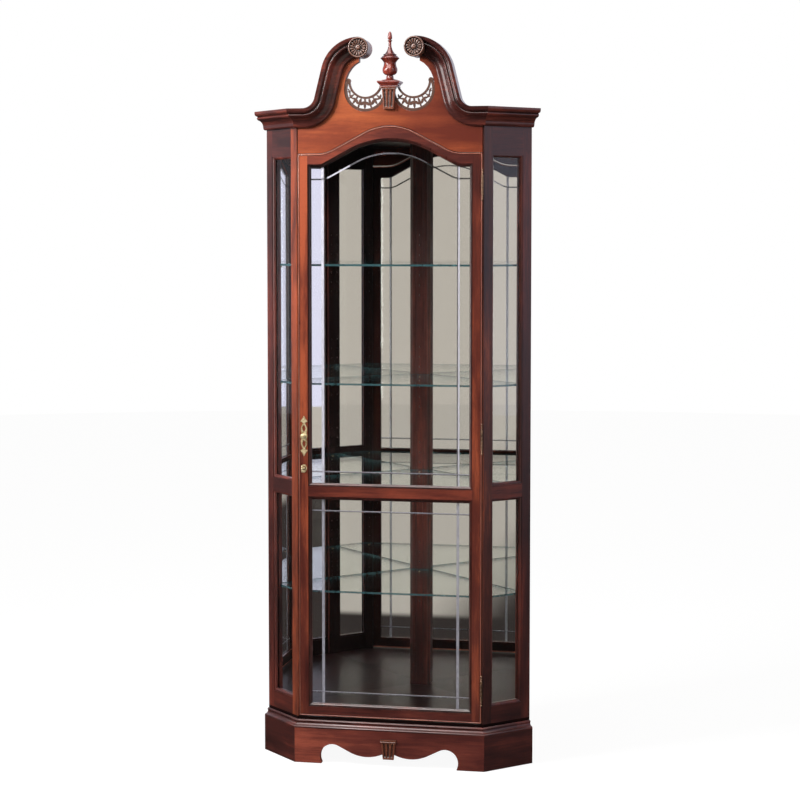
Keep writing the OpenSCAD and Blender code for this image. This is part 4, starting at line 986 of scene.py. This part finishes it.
def make_cut_lines(s):
    """Two ground facets side by side along each line cut in the panes, toned with painted
    reflections from bright to black.
    """
    edge = opening_edge(s) - 8
    inset = 10 + mm(s.cut_inset)
    x = opening_edge(s) - inset
    facets = {"cut_bright": [], "cut_soft": [], "cut_grey": [], "cut_black": []}

    def add(tone, line, half):
        facets[tone].append(ribbon(tidy_line(line), half, CUT_FRONT, CUT_BACK))

    for d, half, tones in ARCHED_FACETS:
        z = mm(s.open_shoulder) - inset + d
        line = close_set([(-edge, z)] + opening_arch(s, -inset + d) + [(edge, z)])
        for tone, low, high in zip(tones, (-edge, *TONE_ENDS), (*TONE_ENDS, edge)):
            add(tone, [p for p in line if low - 3 <= p[0] <= high], half)
    for side, tone in ((-1, "cut_bright"), (1, "cut_grey")):
        for d, half, shade in ((-2.3, 1.9, tone), (1.9, 2.1, "cut_bright")):
            reach = max(z for px, z in opening_arch(s, -9) if abs(px - side * x) < 12)
            at = side * x + d
            add(shade, [(at, mm(s.mid_top) + 9), (at, reach)], half)
            add("cut_soft", [(at, mm(s.bottom_top) + 9), (at, mm(s.mid_low) - 9)], half)
    for z in (mm(s.mid_top) + inset, mm(s.bottom_top) + inset, mm(s.mid_low) - inset):
        add("cut_soft", [(-edge, z + 1.2), (edge, z + 1.2)], 0.9)
        add("cut_grey", [(-edge, z - 1.2), (edge, z - 1.2)], 1.2)
    for tone, shapes in facets.items():
        build(f"{tone}_facets", joined(*shapes), tone, body="door")


# ---- operators

class Step:
    """What every operator here shares."""

    def execute(self, context):
        self.work(context.scene)
        return {"FINISHED"}


class CABINET_OT_case(Step, Operator):
    """Finishes the case: plinth, floor, posts, rails, back panels and ceiling"""
    bl_idname = "cabinet.case"
    bl_label = "Finish the Case"

    def work(self, scene):
        dress("inner_wood_up", "back_corner_post", ease=0.6)
        dress("plinth_wood", "plinth_front", ease=0.7)
        dress("inner_wood_across", "base_deck", "ceiling_board", ease=0.7)
        for hand in ("left", "right"):
            dress(f"case_wood_{hand}", f"plinth_{hand}", f"side_rails_{hand}", ease=0.6)
            dress("post_wood", f"front_post_{hand}", ease=0.6)
            dress("case_wood_up", f"rear_post_{hand}", ease=0.6)
            dress("case_wood_up", f"back_panel_{hand}", f"side_beads_{hand}")
        dress("case_wood_across", "plinth_backs", "base_ledgers")
        dress("board_wood", "pediment_board", ease=0.8)


class CABINET_OT_crown(Step, Operator):
    """Runs the crown moulding along both sides and up the swan necks"""
    bl_idname = "cabinet.crown"
    bl_label = "Crown and Swan Necks"

    def work(self, scene):
        make_crown(scene.cabinet_crown)


class CABINET_OT_base(Step, Operator):
    """Runs the base moulding around the front and both sides"""
    bl_idname = "cabinet.base"
    bl_label = "Base Moulding"

    def work(self, scene):
        make_base(scene.cabinet_crown)


class CABINET_OT_rosettes(Step, Operator):
    """Carves the rosettes at the ends of the swan necks"""
    bl_idname = "cabinet.rosettes"
    bl_label = "Rosettes"

    def work(self, scene):
        make_rosettes(scene.cabinet_crown)


class CABINET_OT_keys(Step, Operator):
    """Flutes the keystones of the pediment and the apron"""
    bl_idname = "cabinet.keys"
    bl_label = "Fluted Keystones"

    def work(self, scene):
        fluted_key("pediment_key", "keystone", top=44, bottom=30, thick=12, band=6,
                   flute_r=3.1, front=0)
        fluted_key("apron_key", "apron_keystone", top=48, bottom=33, thick=6, band=8,
                   flute_r=3.3, front=-15.2)


class CABINET_OT_finial(Step, Operator):
    """Turns the finial and moulds the cap under it"""
    bl_idname = "cabinet.finial"
    bl_label = "Finial and Cap"

    def work(self, scene):
        make_finial()
        make_finial_cap()


class CABINET_OT_scrollwork(Step, Operator):
    """Finishes the pierced scrollwork in the pediment's scoops"""
    bl_idname = "cabinet.scrollwork"
    bl_label = "Pierced Scrollwork"

    def work(self, scene):
        dress("fret_wood", "fretwork_left", "fretwork_right", ease=1.1)


class CABINET_OT_door(Step, Operator):
    """Finishes the door's frame and runs its bead and glass mouldings"""
    bl_idname = "cabinet.door"
    bl_label = "Door Frame and Mouldings"

    def work(self, scene):
        dress("door_wood_up", "door_stile_left", "door_stile_right", "glass_stops")
        dress("door_wood_across", "door_top_rail", "door_mid_rail")
        dress("door_wood_low", "door_bottom_rail")
        make_door_mouldings(scene.cabinet_door)


class CABINET_OT_glass(Step, Operator):
    """Finishes the panes, shelves and mirrors and frosts the cut lines"""
    bl_idname = "cabinet.glass"
    bl_label = "Glass and Mirrors"

    def work(self, scene):
        dress("pane", "door_glass_upper", "door_glass_lower", "side_glass_left", "side_glass_right")
        dress("shelf", "glass_shelves")
        dress("mirror_silver", "mirror_left", "mirror_right")
        make_cut_lines(scene.cabinet_door)


class CABINET_OT_hardware(Step, Operator):
    """Finishes the brass hinges, pull, lock, key and shelf pins"""
    bl_idname = "cabinet.hardware"
    bl_label = "Brass Hardware"

    def work(self, scene):
        dress("hinge_brass", "hinge_leaves_post", "hinge_leaves_door", "hinge_pins",
              "hinge_screws_post", "hinge_screws_door", "lock_case", "lock_core", "lock_bolt")
        dress("hardware_brass", "pull_knob", "shelf_pins")
        dress("hardware_brass", "pull_plate", "escutcheon", "key", ease=0.4)


def make_room(strength):
    """White to the camera; to the mirrors a room with beige and white walls and two softboxes."""
    world = bpy.data.worlds.new("room")
    bpy.context.scene.world = world
    air = Finish(world)
    across, depth, height = (air.coordinate("Generated", axis) for axis in "XYZ")
    walls = air.ramp(depth * 0.5 + 0.5, (0.0, (0.02, 0.018, 0.018)), (0.3, (0.03, 0.027, 0.027)),
                     (0.5, (0.1, 0.09, 0.1)), (0.62, (0.3, 0.29, 0.33)),
                     (0.85, (0.86, 0.84, 0.96)))
    ahead = air.shade(across, -0.02, 0.08) * (1 - air.shade(depth, -0.85, -0.6))
    walls = air.mix(ahead, walls, (0.74, 0.655, 0.585))
    walls = air.mix(air.shade(across, 0.6, 0.85), walls, (0.98, 0.95, 1.18))
    side_box = (1 - air.shade(across, -0.72, -0.6)) * (1 - air.shade(depth, -0.15, -0.05)) \
        * air.shade(height, -0.3, -0.2) * (1 - air.shade(height, 0.02, 0.08))
    top_box = air.shade(height, 0.45, 0.5) * (1 - air.shade(depth, -0.1, 0.1)) \
        * air.shade(across, -0.8, -0.65) * (1 - air.shade(across, 0.2, 0.4))
    walls = air.mix(side_box.at_least(top_box), walls, (9.0, 8.6, 8.5))
    falling = strength * (1.25 - air.shade(depth, -0.5, 0.5) * 0.75)
    air.wear(air.by_ray(air.shader("Background", (1, 0.985, 0.97), Strength=falling),
                        air.shader("Background", walls, Strength=1),
                        air.shader("Background", (1, 1, 1), Strength=1)))


def make_floor():
    """Near-white to the camera; to the mirrors dark in front and beige beyond, to the right."""
    cloth = finish("floor_paint")
    right = cloth.shade(cloth.coordinate("Object", "X"), -0.05, 0.4)
    near = cloth.shade(cloth.coordinate("Object", "Y"), -1.6, -1.45)
    rug = cloth.mix(right * (1 - near), (0.045, 0.036, 0.034), (0.66, 0.59, 0.53))
    lit = cloth.add("ShaderNodeAddShader", None, [
        cloth.shader("BsdfDiffuse", (0.16, 0.16, 0.16)),
        cloth.shader("Emission", (1, 1, 1), Strength=0.93)])
    paint = cloth.wear(cloth.by_ray(cloth.shader("BsdfDiffuse", (0.8, 0.79, 0.78)),
                                    cloth.shader("Emission", rug, Strength=1), lit))
    turns = [2 * pi * i / FLOOR_SIDES for i in range(FLOOR_SIDES)]
    ring = [(FLOOR_RADIUS * cos(a), FLOOR_RADIUS * sin(a), -FLOOR_DROP) for a in turns]
    mesh = bpy.data.meshes.new("floor")
    mesh.from_pydata(ring, [], [tuple(range(FLOOR_SIDES))])
    mesh.materials.append(paint)
    linked("floor", mesh)


def area_lamp(name, power, size, spot, target):
    lamp = bpy.data.lights.new(name, "AREA")
    lamp.shape, lamp.size, lamp.size_y, lamp.energy = "RECTANGLE", size, size, power
    holder = linked(name, lamp)
    holder.location = spot
    holder.rotation_euler = (Vector(target) - Vector(spot)).to_track_quat("-Z", "Y").to_euler()


def make_camera():
    lens = bpy.data.cameras.new("camera")
    lens.lens, lens.sensor_width, lens.shift_y = CAMERA_LENS, CAMERA_SENSOR, CAMERA_SHIFT
    lens.clip_start, lens.clip_end = 0.05, 100
    camera = linked("camera", lens)
    camera.location = place(*CAMERA_PLACE)
    level = cos(CAMERA_TIP)
    ahead = Vector((-sin(CAMERA_TURN) * level, cos(CAMERA_TURN) * level,
                    -sin(CAMERA_TIP)))
    camera.rotation_mode = "QUATERNION"
    camera.rotation_quaternion = ahead.to_track_quat("-Z", "Y")
    bpy.context.scene.camera = camera


class CABINET_OT_studio(Step, Operator):
    """Sets the pale floor, the soft lamps, the room's light and the camera"""
    bl_idname = "cabinet.studio"
    bl_label = "Studio"

    def work(self, scene):
        lamps = scene.cabinet_light
        make_room(lamps.room)
        make_floor()
        area_lamp("key_lamp", lamps.key, *KEY_LAMP)
        area_lamp("fill_lamp", lamps.fill, *FILL_LAMP)
        make_camera()
        scene.view_settings.view_transform = "Standard"
        scene.cycles.max_bounces = 16
        scene.cycles.glossy_bounces = 8
        scene.cycles.transparent_max_bounces = 48


OPERATORS = (CABINET_OT_case, CABINET_OT_crown, CABINET_OT_base, CABINET_OT_rosettes,
             CABINET_OT_keys, CABINET_OT_finial, CABINET_OT_scrollwork, CABINET_OT_door,
             CABINET_OT_glass, CABINET_OT_hardware, CABINET_OT_studio)


class CABINET_PT_panel(Panel):
    """Steps that dress the cabinet"""
    bl_idname = "CABINET_PT_panel"
    bl_label = "China Cabinet"
    bl_space_type = "VIEW_3D"
    bl_region_type = "UI"
    bl_category = "Cabinet"

    def draw(self, context):
        for step in OPERATORS:
            self.layout.operator(step.bl_idname)


GROUPS = {"cabinet_colours": CabinetColours, "cabinet_crown": CrownSizes,
          "cabinet_door": DoorSizes, "cabinet_light": StudioLight}


def register():
    for part in (*GROUPS.values(), *OPERATORS, CABINET_PT_panel):
        bpy.utils.register_class(part)
    for name, group in GROUPS.items():
        setattr(bpy.types.Scene, name, PointerProperty(type=group))


def unregister():
    for name in GROUPS:
        delattr(bpy.types.Scene, name)
    for part in reversed((*GROUPS.values(), *OPERATORS, CABINET_PT_panel)):
        bpy.utils.unregister_class(part)


def main():
    register()
    for step in OPERATORS:
        getattr(bpy.ops.cabinet, step.bl_idname.split(".")[1])()


if __name__ == "__main__":
    main()
